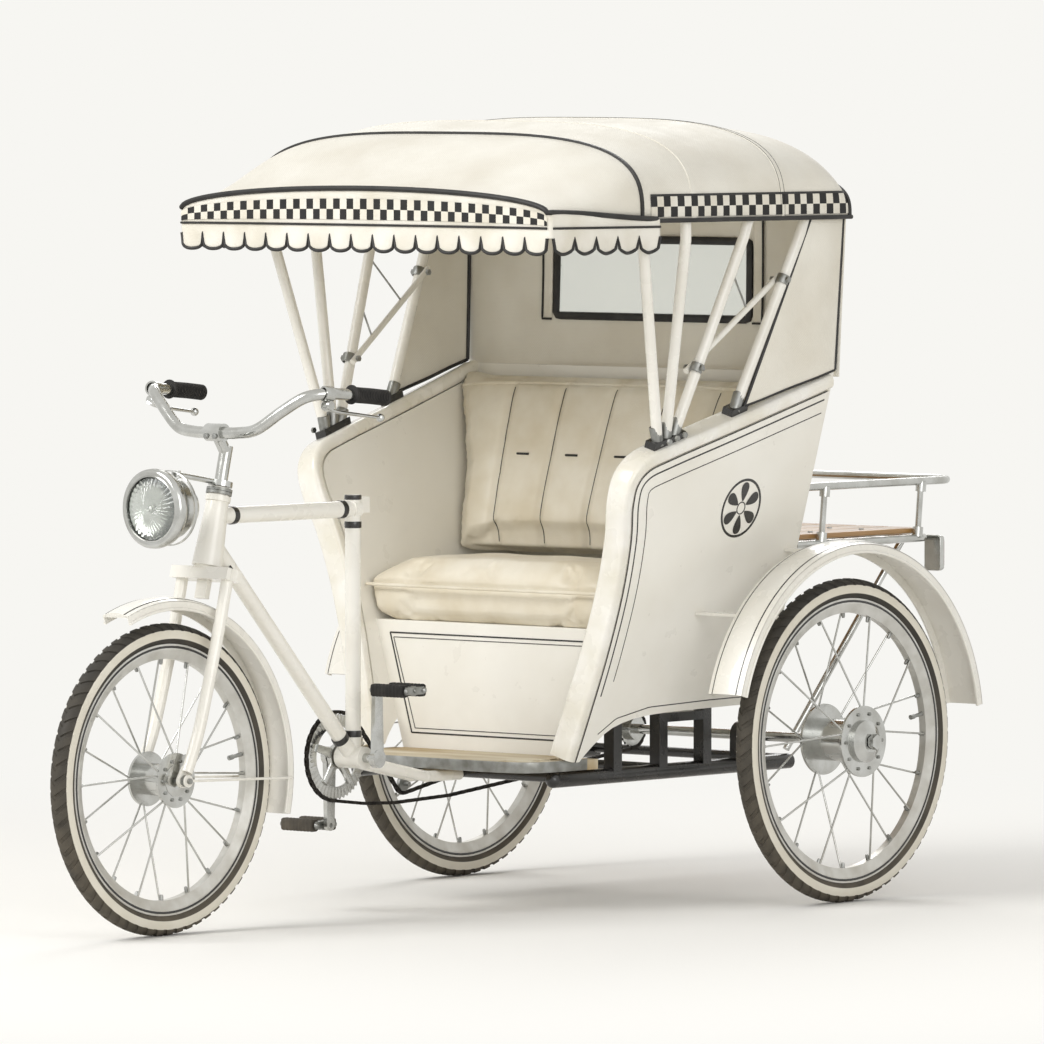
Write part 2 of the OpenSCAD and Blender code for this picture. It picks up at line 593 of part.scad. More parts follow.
// one ring across the roof at a station, inset by t from the outside
function roof_ring(p, t) = let (w = roof_w(p[0]) - t, z0 = roof_hem(p[0]), h = p[1] - t - z0, n = roof_n(p[0]))
    [for (k = [0:2 * roof_sides]) let (a = 90 * (k - roof_sides) / roof_sides)
        [w * signed_power(sin(a), 2 / n), p[0], z0 + h * pow(cos(a), 2 / n)]];
module hood_roof() color("ivory") place() {
    n = len(crown_line);
    m = 2 * roof_sides + 1;
    points = concat([for (p = crown_line) for (q = roof_ring(p, 0)) q], [for (p = crown_line) for (q = roof_ring(p, hood_t)) q]);
    under = n * m;
    faces = concat(
        [for (i = [0:n - 2]) for (k = [0:m - 2]) [i * m + k, (i + 1) * m + k, (i + 1) * m + k + 1, i * m + k + 1]],
        [for (i = [0:n - 2]) for (k = [0:m - 2]) [under + i * m + k, under + i * m + k + 1, under + (i + 1) * m + k + 1, under + (i + 1) * m + k]],
        [for (k = [0:m - 2]) [k, k + 1, under + k + 1, under + k]],
        [for (k = [0:m - 2]) [(n - 1) * m + k, under + (n - 1) * m + k, under + (n - 1) * m + k + 1, (n - 1) * m + k + 1]],
        [for (i = [0:n - 2]) [i * m, under + i * m, under + (i + 1) * m, (i + 1) * m]],
        [for (i = [0:n - 2]) [i * m + m - 1, (i + 1) * m + m - 1, under + (i + 1) * m + m - 1, under + i * m + m - 1]]);
    polyhedron(points, faces, convexity = 8);
}
// a bow in the plane through its foot and its top, from one foot over to the other
roof_gap = 4;
function roof_under(y) = lookup(y, crown_line) - hood_t - bow_d / 2 - roof_gap;
module bow(foot_y, foot_z, top_y) place() {
    up = unit([0, top_y - foot_y, hem_z - foot_z]);
    rise = norm([top_y - foot_y, hem_z - foot_z]);
    // how far up the bow's plane the crown lies
    span = [for (s = [rise:4:rise + 260]) if (foot_z + up[2] * s < roof_under(foot_y + up[1] * s)) s];
    top = span[len(span) - 1];
    n = 3.2;
    half_w = bow_side_x;
    line = concat(
        [for (k = [0:4]) let (s = (rise - 40) * k / 4) [mix(outer_x(foot_z) - wall_x / 2, half_w, k / 4), s]],
        [for (k = [1:10]) let (a = 90 * k / 10) [half_w * signed_power(cos(a), 2 / n), rise - 40 + (top - rise + 40) * pow(sin(a), 2 / n)]]);
    half = [for (p = line) [p[0], foot_y + up[1] * p[1], foot_z + up[2] * p[1]]];
    sweep(concat(half, reverse([for (i = [0:len(half) - 2]) [-half[i][0], half[i][1], half[i][2]]])), bow_d / 2, [0, up[2], -up[1]], 12);
}
bracket_h = 16;
function foot_z(y) = coaming_top(y) + bracket_h + 22;
module hood_bow_front() color("silver") bow(pivot_y - 26, foot_z(pivot_y - 26), bow_top[0][1]);
module hood_bow_upright() color("silver") bow(pivot_y, foot_z(pivot_y), bow_top[1][1]);
module hood_bow_middle() color("silver") bow(pivot_y + 26, foot_z(pivot_y + 26), bow_top[2][1]);
module hood_bow_rear() color("silver") bow(rear_foot_y, foot_z(rear_foot_y), bow_top[3][1]);
module hood_brackets() color("silver") place() both_sides()
    for (f = [[pivot_y - 46, pivot_y + 46], [rear_foot_y - 24, rear_foot_y + 24]])
        on_wall(-wall_t / 2 - 15, -wall_t / 2 + 15) polygon([for (p = [[f[0], 0.5], [f[1], 0.5], [f[1], bracket_h],
            [f[0], bracket_h]]) up_slope([p[0], coaming_top(p[0]) + p[1]])]);
// a point on a bow's straight leg at height z
function leg_at(foot_y, top_y, z) = let (f = foot_z(foot_y), rise = norm([top_y - foot_y, hem_z - f]), k = (z - f) / (hem_z - f))
    [mix(outer_x(f) - wall_x / 2, bow_side_x, min(1, k * rise / (rise - 40))), mix(foot_y, top_y, k), z];
// each brace crosses inside the middle and the rear bow, and ends just past them
brace_d = 14;
brace_low_z = 1180;
brace_high_z = 1366;
module hood_braces() color("silver") place() both_sides() {
    inward = [-(bow_d + brace_d) / 2 - 0.6, 0, 0];
    low = leg_at(pivot_y + 26, bow_top[2][1], brace_low_z) + inward;
    high = leg_at(rear_foot_y, bow_top[3][1], brace_high_z) + inward;
    past = 14 * unit(high - low);
    bar(low - past, high + past, brace_d);
}

hood_lean = 5;
module hood_back() color("ivory") place() translate([0, -back_y + panel_t + 3, back_top_z]) rotate([-hood_lean, 0, 0]) difference() {
    slab_y(0, hood_t) polygon(concat(
        [[-outer_x(back_top_z) + 6, -16], [outer_x(back_top_z) - 6, -16]],
        [for (q = reverse(roof_ring([hood_rear_y, 1598], hood_t + 1))) [q[0], (q[2] - back_top_z) / cos(hood_lean)]]));
    translate([-280, -20, 108]) cube([560, 60, 176]);
}
module hood_quarters() color("ivory") place() both_sides()
    translate([outer_x(arm_rear_z) - 12, 0, 0]) rotate([0, 1, 0]) slab_x(0, hood_t)
        polygon([[-282, 1100], [-back_y - 2, arm_rear_z + 12], [-back_y + panel_t, back_top_z + 12], [hood_rear_y - 2, hem_z - 4], [-96, hem_z - 4]]);
// the scalloped valance under the visor's front and side edges
fascia_z = 1487;        // where the scallops start
front_scallops = 17;
side_scallops = 5;
function scallop_line(a, b, count, z, length) = [for (i = [0:count - 1]) let (w = (b - a) / count, x = a + (i + 0.5) * w)
    for (q = arc(x, z - length + w / 2 - 2, w / 2 - 2, 180, 360, 8)) q];
module hood_valance() color("ivory") place() {
    w = hood_half_w - 32;
    slab_y(-visor_y - valance_t - 0.5, -visor_y - 0.5) polygon(concat(
        [[-w - 4, fascia_z]], scallop_line(-w - 4, w + 4, front_scallops, fascia_z, scallop_h), [[w + 4, fascia_z]],
        [for (k = [20:-1:0]) let (x = mix(-w, w, k / 20)) [x, 1518 + 48 * sqrt(max(0, 1 - pow(x / w, 2))) + 2]]));
    side_l = side_scallops * scallop_w;
    both_sides() translate([w + 9, -visor_y, 0]) rotate([0, 0, -atan((hood_half_w - w) / side_l)]) slab_x(0, valance_t)
        polygon(concat([[0, fascia_z]], scallop_line(0, side_l, side_scallops, fascia_z, scallop_h),
            [[side_l, fascia_z], [side_l, 1505], [0, 1522]]));
}

// ---- mudguards and luggage rack ----
module mudguard() color("white") place() {
    at_left_wheel() translate([0, 8, 0]) guard_sector(-74, 82) guard_profile(guard_r, guard_w);
    // brackets to the side wall
    for (p = [[-300, 640], [-40, 770]])
        let (x = outer_x(p[1] + 3) + 0.3)
            translate([x, p[0] - 15, p[1] - 3]) cube([track / 2 - guard_w / 2 - x + 1.5, 30, 6]);
}
module left_mudguard() mudguard();
module right_mudguard() mirror([1, 0, 0]) mudguard();
rack_front_y = -back_y + panel_t;
corner_r = 60;
module rail_loop(z, rear, half) sweep(concat(
        [[-half, rack_front_y + 0.5, z], [-half, rack_front_y + 120, z]],
        [for (p = arc(-half + corner_r, rear - corner_r, corner_r, 180, 90, 6)) [p[0], p[1], z]],
        [for (p = arc(half - corner_r, rear - corner_r, corner_r, 90, 0, 6)) [p[0], p[1], z]],
        [[half, rack_front_y + 120, z], [half, rack_front_y + 0.5, z]]), rack_tube_d / 2, [0, 0, 1], 12);
module luggage_rack() color("silver") place() {
    rail_loop(guard_z, rack_rear_y, rack_half_w);
    rail_loop(platform_z - 22, rack_rear_y - 70, rack_half_w - 10);
    both_sides() {
        for (y = [90, 430]) bar([rack_half_w - 10, y, platform_z - 22], [rack_half_w, y, guard_z], 14);
        bar([rack_half_w - 60, 440, platform_z - 26], [rail_x, 140, rail_z + rail_d / 2 + 9], 16);
    }
    for (y = [120, 300]) bar([-rack_half_w + 10, y, platform_z - 22], [rack_half_w - 10, y, platform_z - 22], 14);
}
module rack_platform() color("burlywood") place()
    translate([-rack_half_w + 24, 20, platform_z - 12]) cube([2 * rack_half_w - 48, rack_rear_y - 120, 12]);
module tail_lamps() color("red") place() both_sides() {
    translate([rack_half_w - 46, rack_rear_y - 70 + 10, platform_z - 98]) cube([46, 22, 80]);
}

main_frame();
chassis();
axle_bearings();
footboard();
left_side_wall();
right_side_wall();
left_coaming();
right_coaming();
back_panel();
seat_box();
seat_cushion();
seat_back();
hood_bow_front();
hood_bow_upright();
hood_bow_middle();
hood_bow_rear();
hood_brackets();
hood_braces();
hood_roof();
hood_back();
hood_quarters();
hood_valance();
left_mudguard();
right_mudguard();
luggage_rack();
rack_platform();
tail_lamps();
chain();
chain_idler();
fork();
stem();
handlebar();
grips();
brake_levers();
headlamp();
headlamp_lens();
lamp_bracket();
front_mudguard();
front_axle();
front_tyre();
front_rim();
front_hub();
left_tyre();
left_rim();
left_hub();
right_tyre();
right_rim();
right_hub();
rear_axle();
crankset();
chainring();
left_pedal();
right_pedal();
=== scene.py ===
import math

import bmesh
import bpy
import mathutils
import mathutils.bvhtree
import numpy as np
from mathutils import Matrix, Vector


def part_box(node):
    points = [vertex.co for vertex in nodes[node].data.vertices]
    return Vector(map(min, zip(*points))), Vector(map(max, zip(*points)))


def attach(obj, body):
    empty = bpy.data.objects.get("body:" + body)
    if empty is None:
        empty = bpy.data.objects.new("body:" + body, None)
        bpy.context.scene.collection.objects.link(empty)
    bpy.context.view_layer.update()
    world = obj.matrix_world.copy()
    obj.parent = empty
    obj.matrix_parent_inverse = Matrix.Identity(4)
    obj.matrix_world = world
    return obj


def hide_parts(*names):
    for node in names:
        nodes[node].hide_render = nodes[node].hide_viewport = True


# A hooded cycle rickshaw: ivory enamel and painted ply, black lining, coated canvas and leathercloth.
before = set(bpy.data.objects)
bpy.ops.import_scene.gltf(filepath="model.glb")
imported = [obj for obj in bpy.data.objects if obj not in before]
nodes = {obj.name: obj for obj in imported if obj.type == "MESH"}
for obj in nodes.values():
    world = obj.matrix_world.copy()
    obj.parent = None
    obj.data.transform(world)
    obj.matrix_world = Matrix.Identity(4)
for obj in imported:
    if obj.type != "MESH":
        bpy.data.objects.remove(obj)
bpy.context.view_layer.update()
rearAxle = (np.array(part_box("rear_axle")[0]) + np.array(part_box("rear_axle")[1])) / 2
print("frame loaded:", len(nodes), "nodes")


def at(points):
    # millimetres across, behind the rear axle and above the ground, to metres in the frame
    points = np.asarray(points, float) / 1000
    return points + np.array([0, rearAxle[1], 0])


def inPlace(points):
    # the other way: metres in the frame to millimetres from the rear axle
    return (points - at([0, 0, 0])) * 1000


def unit(v):
    return v / np.maximum(np.linalg.norm(v, axis=-1, keepdims=True), 1e-12)


def curveThrough(points, perSpan):
    # Catmull-Rom: each span is the cubic that passes its two ends with slopes taken from their
    # neighbours
    p = np.asarray(points, float)
    a, b, c, d = np.vstack([p[:1], p[:-2]]), p[:-1], p[1:], np.vstack([p[2:], p[-1:]])
    t = (np.arange(perSpan) / perSpan)[None, :, None]
    a, b, c, d = (q[:, None, :] for q in (a, b, c, d))
    body = 0.5 * (2 * b + (c - a) * t + (2 * a - 5 * b + 4 * c - d) * t ** 2 + (3 * b - a - 3 * c + d)
                  * t ** 3)
    return np.vstack([body.reshape(-1, p.shape[1]), p[-1:]])


def evenly(path, count):
    # the same line with points at equal steps along its length
    step = np.r_[0, np.cumsum(np.linalg.norm(np.diff(path, axis=0), axis=1))]
    want = np.linspace(0, step[-1], count)
    return np.stack([np.interp(want, step, path[:, k]) for k in range(path.shape[1])], 1)


def smoothStep(t):
    t = np.clip(t, 0, 1)
    return t * t * (3 - 2 * t)


def gridFaces(n, m, closedU=False, closedV=False, start=0):
    i, j = np.meshgrid(np.arange(n if closedU else n - 1), np.arange(m if closedV else m - 1),
                       indexing="ij")
    i, j = i.ravel(), j.ravel()
    k, l = (i + 1) % n, (j + 1) % m
    return np.stack([i * m + j, k * m + j, k * m + l, i * m + l], 1) + start


def gridSurface(grid, closedU=False, closedV=False, flip=False, uv=None):
    # a surface as an n by m array of points, with a face between each four neighbours
    n, m = grid.shape[:2]
    faces = gridFaces(n, m, closedU, closedV)
    return {"points": grid.reshape(-1, 3), "faces": [faces[:, ::-1] if flip else faces],
            "uv": None if uv is None else uv.reshape(-1, 2)}


def sweep(path, profile, up, closed=False, capped=True, scale=None):
    # each point of the profile (across, up) rides along the path on axes square to it: side = tangent x
    # up
    path, profile = np.asarray(path, float), np.asarray(profile, float)
    if closed:
        tangent = unit(np.roll(path, -1, 0) - np.roll(path, 1, 0))
    else:
        tangent = unit(np.gradient(path, axis=0))
    side = unit(np.cross(tangent, np.broadcast_to(np.asarray(up, float), path.shape)))
    rise = np.cross(side, tangent)
    size = np.ones(len(path)) if scale is None else np.asarray(scale)
    grid = path[:, None] + size[:, None, None] * (profile[None, :, :1] * side[:, None]
                                                  + profile[None, :, 1:] * rise[:, None])
    shape = gridSurface(grid, closedU=closed, closedV=True)
    if capped and not closed:
        m = len(profile)
        shape["faces"] += [np.arange(m)[None], (np.arange(m)[::-1] + (len(path) - 1) * m)[None]]
    return shape


def circle(radius, sides=16, flat=1.0):
    a = np.linspace(0, 2 * math.pi, sides, endpoint=False)
    return np.stack([radius * np.cos(a), radius * flat * np.sin(a)], 1)


def roundedBox(width, height, radius, steps=4):
    # a rectangle whose corners are quarter circles
    a = np.linspace(0, math.pi / 2, steps + 1)
    corners = [(width / 2 - radius, height / 2 - radius, 0),
               (-width / 2 + radius, height / 2 - radius, 1),
               (-width / 2 + radius, -height / 2 + radius, 2),
               (width / 2 - radius, -height / 2 + radius, 3)]
    return np.vstack([np.stack([x + radius * np.cos(a + q * math.pi / 2),
                                y + radius * np.sin(a + q * math.pi / 2)], 1) for x, y, q in corners])


def turned(profile, centre, axis, segments=48):
    # a profile of (along the axis, radius) turned about that axis; a radius of 0 closes it
    profile = np.asarray(profile, float)
    axis = unit(np.asarray(axis, float))
    side = unit(np.cross(axis, [0.31, 0.17, 0.93]))
    rise = np.cross(axis, side)
    a = np.linspace(0, 2 * math.pi, segments, endpoint=False)
    ring = np.cos(a)[:, None] * side + np.sin(a)[:, None] * rise
    grid = np.asarray(centre, float) + profile[:, None, :1] * axis + profile[:, None, 1:] * ring[None]
    return gridSurface(grid, closedV=True, flip=True)


def repeated(shape, centres, axes, across=None):
    # copies of a small shape made about +Z, one at each centre, with its Z turned to that axis and its
    # X to across
    centres, z = np.asarray(centres, float), unit(np.asarray(axes, float))
    helper = np.where(np.abs(z[:, 2:3]) < 0.9, np.array([[0, 0, 1.0]]), np.array([[1.0, 0, 0]]))
    x = unit(np.cross(helper, z)) if across is None else np.tile(across, (len(z), 1))
    y = np.cross(z, x)
    turn = np.stack([x, y, z], 1)
    points = np.einsum("pk,nkj->npj", shape["points"], turn) + centres[:, None]
    step = (np.arange(len(centres)) * len(shape["points"]))[:, None, None]
    return {"points": points.reshape(-1, 3), "uv": None,
            "faces": [(f[None] + step).reshape(-1, f.shape[1]) for f in shape["faces"]]}


def boltHead(radius, height, sides=6):
    # a domed nut: a prism with a chamfered rim
    profile = [(0, radius), (height * 0.72, radius), (height, radius * 0.82), (height, 0)]
    return turned(profile, (0, 0, 0), (0, 0, 1), sides)


def mirrored(shape):
    return {"points": shape["points"] * [-1, 1, 1], "faces": [f[:, ::-1] for f in shape["faces"]],
            "uv": shape["uv"]}


def bothSides(shapes):
    return shapes + [mirrored(s) for s in shapes]


def makePiece(name, shapes, material, body, replaces=(), sharp=35, solid=0, bevel=0,
              subdivide=0, merge=0):
    points = np.vstack([s["points"] for s in shapes])
    starts = np.cumsum([0] + [len(s["points"]) for s in shapes])
    faces = []
    for shape, start in zip(shapes, starts):
        for block in shape["faces"]:
            faces += (np.asarray(block) + start).tolist()
    mesh = bpy.data.meshes.new(name)
    mesh.from_pydata(points.tolist(), [], faces)
    if shapes[0]["uv"] is not None:
        uv = np.vstack([s["uv"] for s in shapes])
        corner = np.empty(len(mesh.loops), np.int32)
        mesh.loops.foreach_get("vertex_index", corner)
        mesh.uv_layers.new(name="UVMap").data.foreach_set("uv", uv[corner].ravel())
    mesh.polygons.foreach_set("use_smooth", np.ones(len(mesh.polygons), bool))
    if merge:
        weld(mesh, merge)
    mesh.set_sharp_from_angle(angle=math.radians(sharp))
    mesh.update()
    piece = bpy.data.objects.new(name, mesh)
    bpy.context.scene.collection.objects.link(piece)
    mesh.materials.append(materials[material])
    if solid:
        wall = piece.modifiers.new("Thickness", "SOLIDIFY")
        wall.thickness, wall.offset = solid, -1
    if bevel:
        edge = piece.modifiers.new("SoftEdge", "BEVEL")
        edge.width, edge.segments, edge.limit_method, edge.angle_limit = bevel, 2, "ANGLE", math.radians(40)
    if subdivide:
        finer = piece.modifiers.new("Smooth", "SUBSURF")
        finer.levels = finer.render_levels = subdivide
    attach(piece, body)
    if replaces:
        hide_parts(*replaces)
    return piece


def weld(mesh, distance):
    work = bmesh.new()
    work.from_mesh(mesh)
    bmesh.ops.remove_doubles(work, verts=work.verts, dist=distance)
    bmesh.ops.recalc_face_normals(work, faces=work.faces)
    work.to_mesh(mesh)
    work.free()


def linear(hexColour):
    # sRGB hex to the linear colour that the shader wants
    c = np.array([int(hexColour[i:i + 2], 16) / 255 for i in (1, 3, 5)])
    c = np.where(c <= 0.04045, c / 12.92, ((c + 0.055) / 1.055) ** 2.4)
    return (*c.tolist(), 1.0)


def addNode(tree, kind, settings=None, inputs=None):
    # an input given as (node, "output") is a link, anything else is the socket's own value
    node = tree.nodes.new(kind)
    for name, value in (settings or {}).items():
        setattr(node, name, value)
    for name, value in (inputs or {}).items():
        socket = node.inputs[name]
        if isinstance(value, tuple) and len(value) == 2 and hasattr(value[0], "outputs"):
            tree.links.new(value[0].outputs[value[1]], socket)
        else:
            socket.default_value = value
    return node


materials = {}
even = (1, 1, 1)


def startMaterial(name, shaderInputs):
    material = bpy.data.materials.new(name)
    material.use_nodes = True
    tree = material.node_tree
    tree.nodes.clear()
    shader = addNode(tree, "ShaderNodeBsdfPrincipled", inputs=shaderInputs)
    addNode(tree, "ShaderNodeOutputMaterial", inputs={"Surface": (shader, "BSDF")})
    materials[name] = material
    return tree, shader


def finish(name, spec):
    # Colour: colour and second mixed by blotches; dust: a paler tint that fades out above dustTop
    # metres; roughness: spread over its own blotches; bump: a sum of patterns, each with its size and
    # depth in millimetres.
    tree, shader = startMaterial(name, spec.get("shader", {}))
    place = (addNode(tree, "ShaderNodeTexCoord"), "Object")
    field = {}
    for use, size, detail, stretch in (("tint", spec.get("blotchMm", 140), 3.0,
                                        spec.get("stretch", even)),
                                       ("wear", spec.get("wearMm", 60), 4.0, even),
                                       ("dust", 45, 5.0, even)):
        mapped = addNode(tree, "ShaderNodeMapping", inputs={"Vector": place, "Scale": stretch})
        field[use] = addNode(tree, "ShaderNodeTexNoise",
                             inputs={"Vector": (mapped, "Vector"), "Scale": 1000 / size,
                                     "Detail": detail})
    mix = addNode(tree, "ShaderNodeMapRange",
                  inputs={"Value": (field["tint"], "Fac"), "From Min": 0.35, "From Max": 0.68})
    colour = addNode(tree, "ShaderNodeMix", {"data_type": "RGBA"},
                     {"Factor": (mix, "Result"), 6: linear(spec["colour"]), 7: linear(spec["second"])})
    if spec.get("dust"):
        split = addNode(tree, "ShaderNodeSeparateXYZ", inputs={"Vector": place})
        height = addNode(tree, "ShaderNodeMapRange",
                         inputs={"Value": (split, "Z"), "From Max": spec.get("dustTop", 0.5),
                                 "To Min": spec["dust"], "To Max": 0.0})
        amount = addNode(tree, "ShaderNodeMath", {"operation": "MULTIPLY"},
                         {0: (height, "Result"), 1: (field["dust"], "Fac")})
        colour = addNode(tree, "ShaderNodeMix", {"data_type": "RGBA"},
                         {"Factor": (amount, "Value"), 6: (colour, 2), 7: linear("#a89a82")})
    tree.links.new(colour.outputs[2], shader.inputs["Base Color"])
    low, high = spec["roughness"]
    spread = addNode(tree, "ShaderNodeMapRange",
                     inputs={"Value": (field["wear"], "Fac"), "From Min": 0.3, "From Max": 0.7,
                             "To Min": low, "To Max": high})
    tree.links.new(spread.outputs["Result"], shader.inputs["Roughness"])
    normal = None
    for kind, sizeMm, depthMm, stretch in spec.get("bump", []):
        mapped = addNode(tree, "ShaderNodeMapping", inputs={"Vector": place, "Scale": stretch})
        if kind == "noise":
            pattern = (addNode(tree, "ShaderNodeTexNoise",
                               inputs={"Vector": (mapped, "Vector"), "Scale": 1000 / sizeMm,
                                       "Detail": 3.0}), "Fac")
        elif kind == "pebble":
            pattern = (addNode(tree, "ShaderNodeTexVoronoi", {"feature": "SMOOTH_F1"},
                               {"Vector": (mapped, "Vector"), "Scale": 1000 / sizeMm}), "Distance")
        else:
            # threads over and under: waves along the two diagonals, whichever stands higher
            pair = []
            for turn in (0, math.pi / 2):
                turned90 = addNode(tree, "ShaderNodeMapping",
                                   inputs={"Vector": place, "Rotation": (0, turn, turn)})
                pair.append(addNode(tree, "ShaderNodeTexWave", {"bands_direction": "DIAGONAL"},
                                    {"Vector": (turned90, "Vector"), "Scale": 314 / sizeMm,
                                     "Distortion": 0.3}))
            pattern = (addNode(tree, "ShaderNodeMath", {"operation": "MAXIMUM"},
                               {0: (pair[0], "Fac"), 1: (pair[1], "Fac")}), "Value")
        inputs = {"Height": pattern, "Strength": 1.0, "Distance": depthMm / 1000}
        if normal:
            inputs["Normal"] = (normal, "Normal")
        normal = addNode(tree, "ShaderNodeBump", inputs=inputs)
    if normal:
        tree.links.new(normal.outputs["Normal"], shader.inputs["Normal"])
    return tree, shader, colour


finishes = {
    # alkyd enamel sprayed on steel: a glossy skin with faint orange peel and a little road dust low
    # down
    "ivoryEnamel": {"colour": "#efece3", "second": "#e7e3d8", "roughness": (0.22, 0.34), "dust": 0.25,
                    "dustTop": 0.5, "shader": {"Coat Weight": 0.5, "Coat Roughness": 0.12, "IOR": 1.5},
                    "bump": [("noise", 5, 0.05, even)]},
    # brushed enamel over plywood: slightly softer gloss, with faint brush strokes along the body
    "paintedPly": {"colour": "#f0ede4", "second": "#e9e5da", "roughness": (0.26, 0.4), "dust": 0.25,
                   "dustTop": 0.75, "blotchMm": 260,
                   "shader": {"Coat Weight": 0.35, "Coat Roughness": 0.2, "IOR": 1.5},
                   "bump": [("noise", 9, 0.12, (1, 0.08, 1)), ("noise", 60, 0.3, even)]},
    # painted hardwood moulding, rubbed by hands and coats, so a touch darker and smoother
    "paintedMoulding": {"colour": "#f1eee6", "second": "#e4dfd0", "roughness": (0.2, 0.36),
                        "blotchMm": 90, "dust": 0.4, "dustTop": 0.6,
                        "shader": {"Coat Weight": 0.5, "Coat Roughness": 0.14, "IOR": 1.5},
                        "bump": [("noise", 7, 0.08, even)]},
    # coach-painted lining and black stove enamel
    "blackEnamel": {"colour": "#161514", "second": "#211f1d", "roughness": (0.2, 0.38),
                    "shader": {"Coat Weight": 0.4, "Coat Roughness": 0.15},
                    "bump": [("noise", 6, 0.05, even)]},
    # rubber-coated canvas, matt, woven at 1.2 mm but drawn at 3 mm so that it shows, with weather marks
    "hoodCanvas": {"colour": "#eae6da", "second": "#dcd6c7", "roughness": (0.62, 0.8), "blotchMm": 210,
                   "shader": {"Sheen Weight": 0.15, "Sheen Roughness": 0.5, "Specular IOR Level": 0.35},
                   "bump": [("woven", 3, 0.25, even), ("noise", 70, 1.6, even)]},
    # the canvas's cotton backing, seen from inside the hood
    "hoodLining": {"colour": "#cfc6b0", "second": "#bfb59d", "roughness": (0.75, 0.9), "blotchMm": 160,
                   "shader": {"Sheen Weight": 0.2, "Specular IOR Level": 0.25},
                   "bump": [("woven", 3, 0.3, even)]},
    # leathercloth: pebbled vinyl on cotton, soft highlights, greyed where people sit
    "leathercloth": {"colour": "#e6dfce", "second": "#d6cbb3", "roughness": (0.38, 0.56),
                     "blotchMm": 120, "shader": {"Sheen Weight": 0.1, "IOR": 1.48},
                     "bump": [("pebble", 4, 0.22, even), ("noise", 55, 1.1, even)]},
    # black leathercloth piping and hem binding
    "blackPiping": {"colour": "#1b1a19", "second": "#2a2826", "roughness": (0.42, 0.6), "blotchMm": 40,
                    "shader": {"IOR": 1.48}, "bump": [("pebble", 3, 0.12, even)]},
    # white cotton braid of the valance
    "whiteCloth": {"colour": "#ece8dd", "second": "#dcd6c6", "roughness": (0.7, 0.88), "blotchMm": 90,
                   "shader": {"Sheen Weight": 0.25, "Specular IOR Level": 0.3},
                   "bump": [("woven", 3, 0.25, even)]},
    # nickel and chrome plate: bright, with hazy patches where it has been handled
    "chromePlate": {"colour": "#c9cac8", "second": "#b3b3af", "roughness": (0.1, 0.26), "wearMm": 30,
                    "blotchMm": 50, "dust": 0.3, "dustTop": 0.35, "shader": {"Metallic": 1.0},
                    "bump": [("noise", 14, 0.04, even)]},
    # zinc-plated steel of nuts and braces: duller and greyer
    "zincSteel": {"colour": "#a3a4a2", "second": "#84847f", "roughness": (0.32, 0.5), "wearMm": 18,
                  "blotchMm": 30, "shader": {"Metallic": 1.0}, "bump": [("noise", 5, 0.08, even)]},
    # rolled steel rims, silver-painted over the plate: a softer, paler metal with brake dust in the
    # channel
    "rolledRim": {"colour": "#d2d1cc", "second": "#bdbbb4", "roughness": (0.3, 0.44), "wearMm": 30,
                  "blotchMm": 45, "dust": 0.3, "dustTop": 0.5, "shader": {"Metallic": 0.55},
                  "bump": [("noise", 8, 0.06, even)]},
    # oiled chain steel, dark with old grease
    "oiledSteel": {"colour": "#3a3733", "second": "#1f1c19", "roughness": (0.28, 0.6), "wearMm": 12,
                   "blotchMm": 20, "shader": {"Metallic": 0.85}, "bump": [("noise", 4, 0.15, even)]},
    # moulded black rubber of grips and pedal blocks
    "mouldedRubber": {"colour": "#1c1b1a", "second": "#2b2927", "roughness": (0.6, 0.8), "blotchMm": 25,
                      "dust": 0.5, "dustTop": 0.5, "shader": {"Specular IOR Level": 0.4},
                      "bump": [("noise", 3, 0.12, even)]},
    # varnished slats of the rack, grain running with the boards
    "varnishedBoards": {"colour": "#b78d57", "second": "#8f6636", "roughness": (0.3, 0.46),
                        "blotchMm": 26, "stretch": (1, 0.05, 1),
                        "shader": {"Coat Weight": 0.4, "Coat Roughness": 0.18},
                        "bump": [("noise", 4, 0.2, (1, 0.04, 1))]},
    # scrubbed floor planks, ivory painted and worn to the wood by feet
    "footPlanks": {"colour": "#cfc6b0", "second": "#a8926c", "roughness": (0.5, 0.72), "blotchMm": 80,
                   "stretch": (0.25, 1, 1), "bump": [("noise", 6, 0.35, (0.06, 1, 1))]},
    # ribbed red acrylic over a reflector
    "redLens": {"colour": "#a4120e", "second": "#7d0b09", "roughness": (0.08, 0.18),
                "shader": {"Coat Weight": 1.0, "Coat Roughness": 0.05, "IOR": 1.49},
                "bump": [("pebble", 5, 0.5, even)]},
    # silvered reflector bowl
    "silvered": {"colour": "#dcdcd8", "second": "#cfcfca", "roughness": (0.05, 0.12),
                 "shader": {"Metallic": 1.0}, "bump": []},
}
for name, spec in finishes.items():
    finish(name, spec)

# pressed headlamp glass and aged clear vinyl: what shows through them is softened by haze in blotches
for name, colour, clearness, low, high in (("pressedGlass", "#eef3f0", 0.85, 0.02, 0.14),
                                           ("clearVinyl", "#dfe3dc", 0.6, 0.08, 0.3)):
    tree, shader = startMaterial(name,
                                 {"Base Color": linear(colour), "Transmission Weight": clearness,
                                  "IOR": 1.5})
    haze = addNode(tree, "ShaderNodeTexNoise",
                   inputs={"Vector": (addNode(tree, "ShaderNodeTexCoord"), "Object"), "Scale": 30.0,
                           "Detail": 4.0})
    spread = addNode(tree, "ShaderNodeMapRange",
                     inputs={"Value": (haze, "Fac"), "To Min": low, "To Max": high})
    tree.links.new(spread.outputs["Result"], shader.inputs["Roughness"])

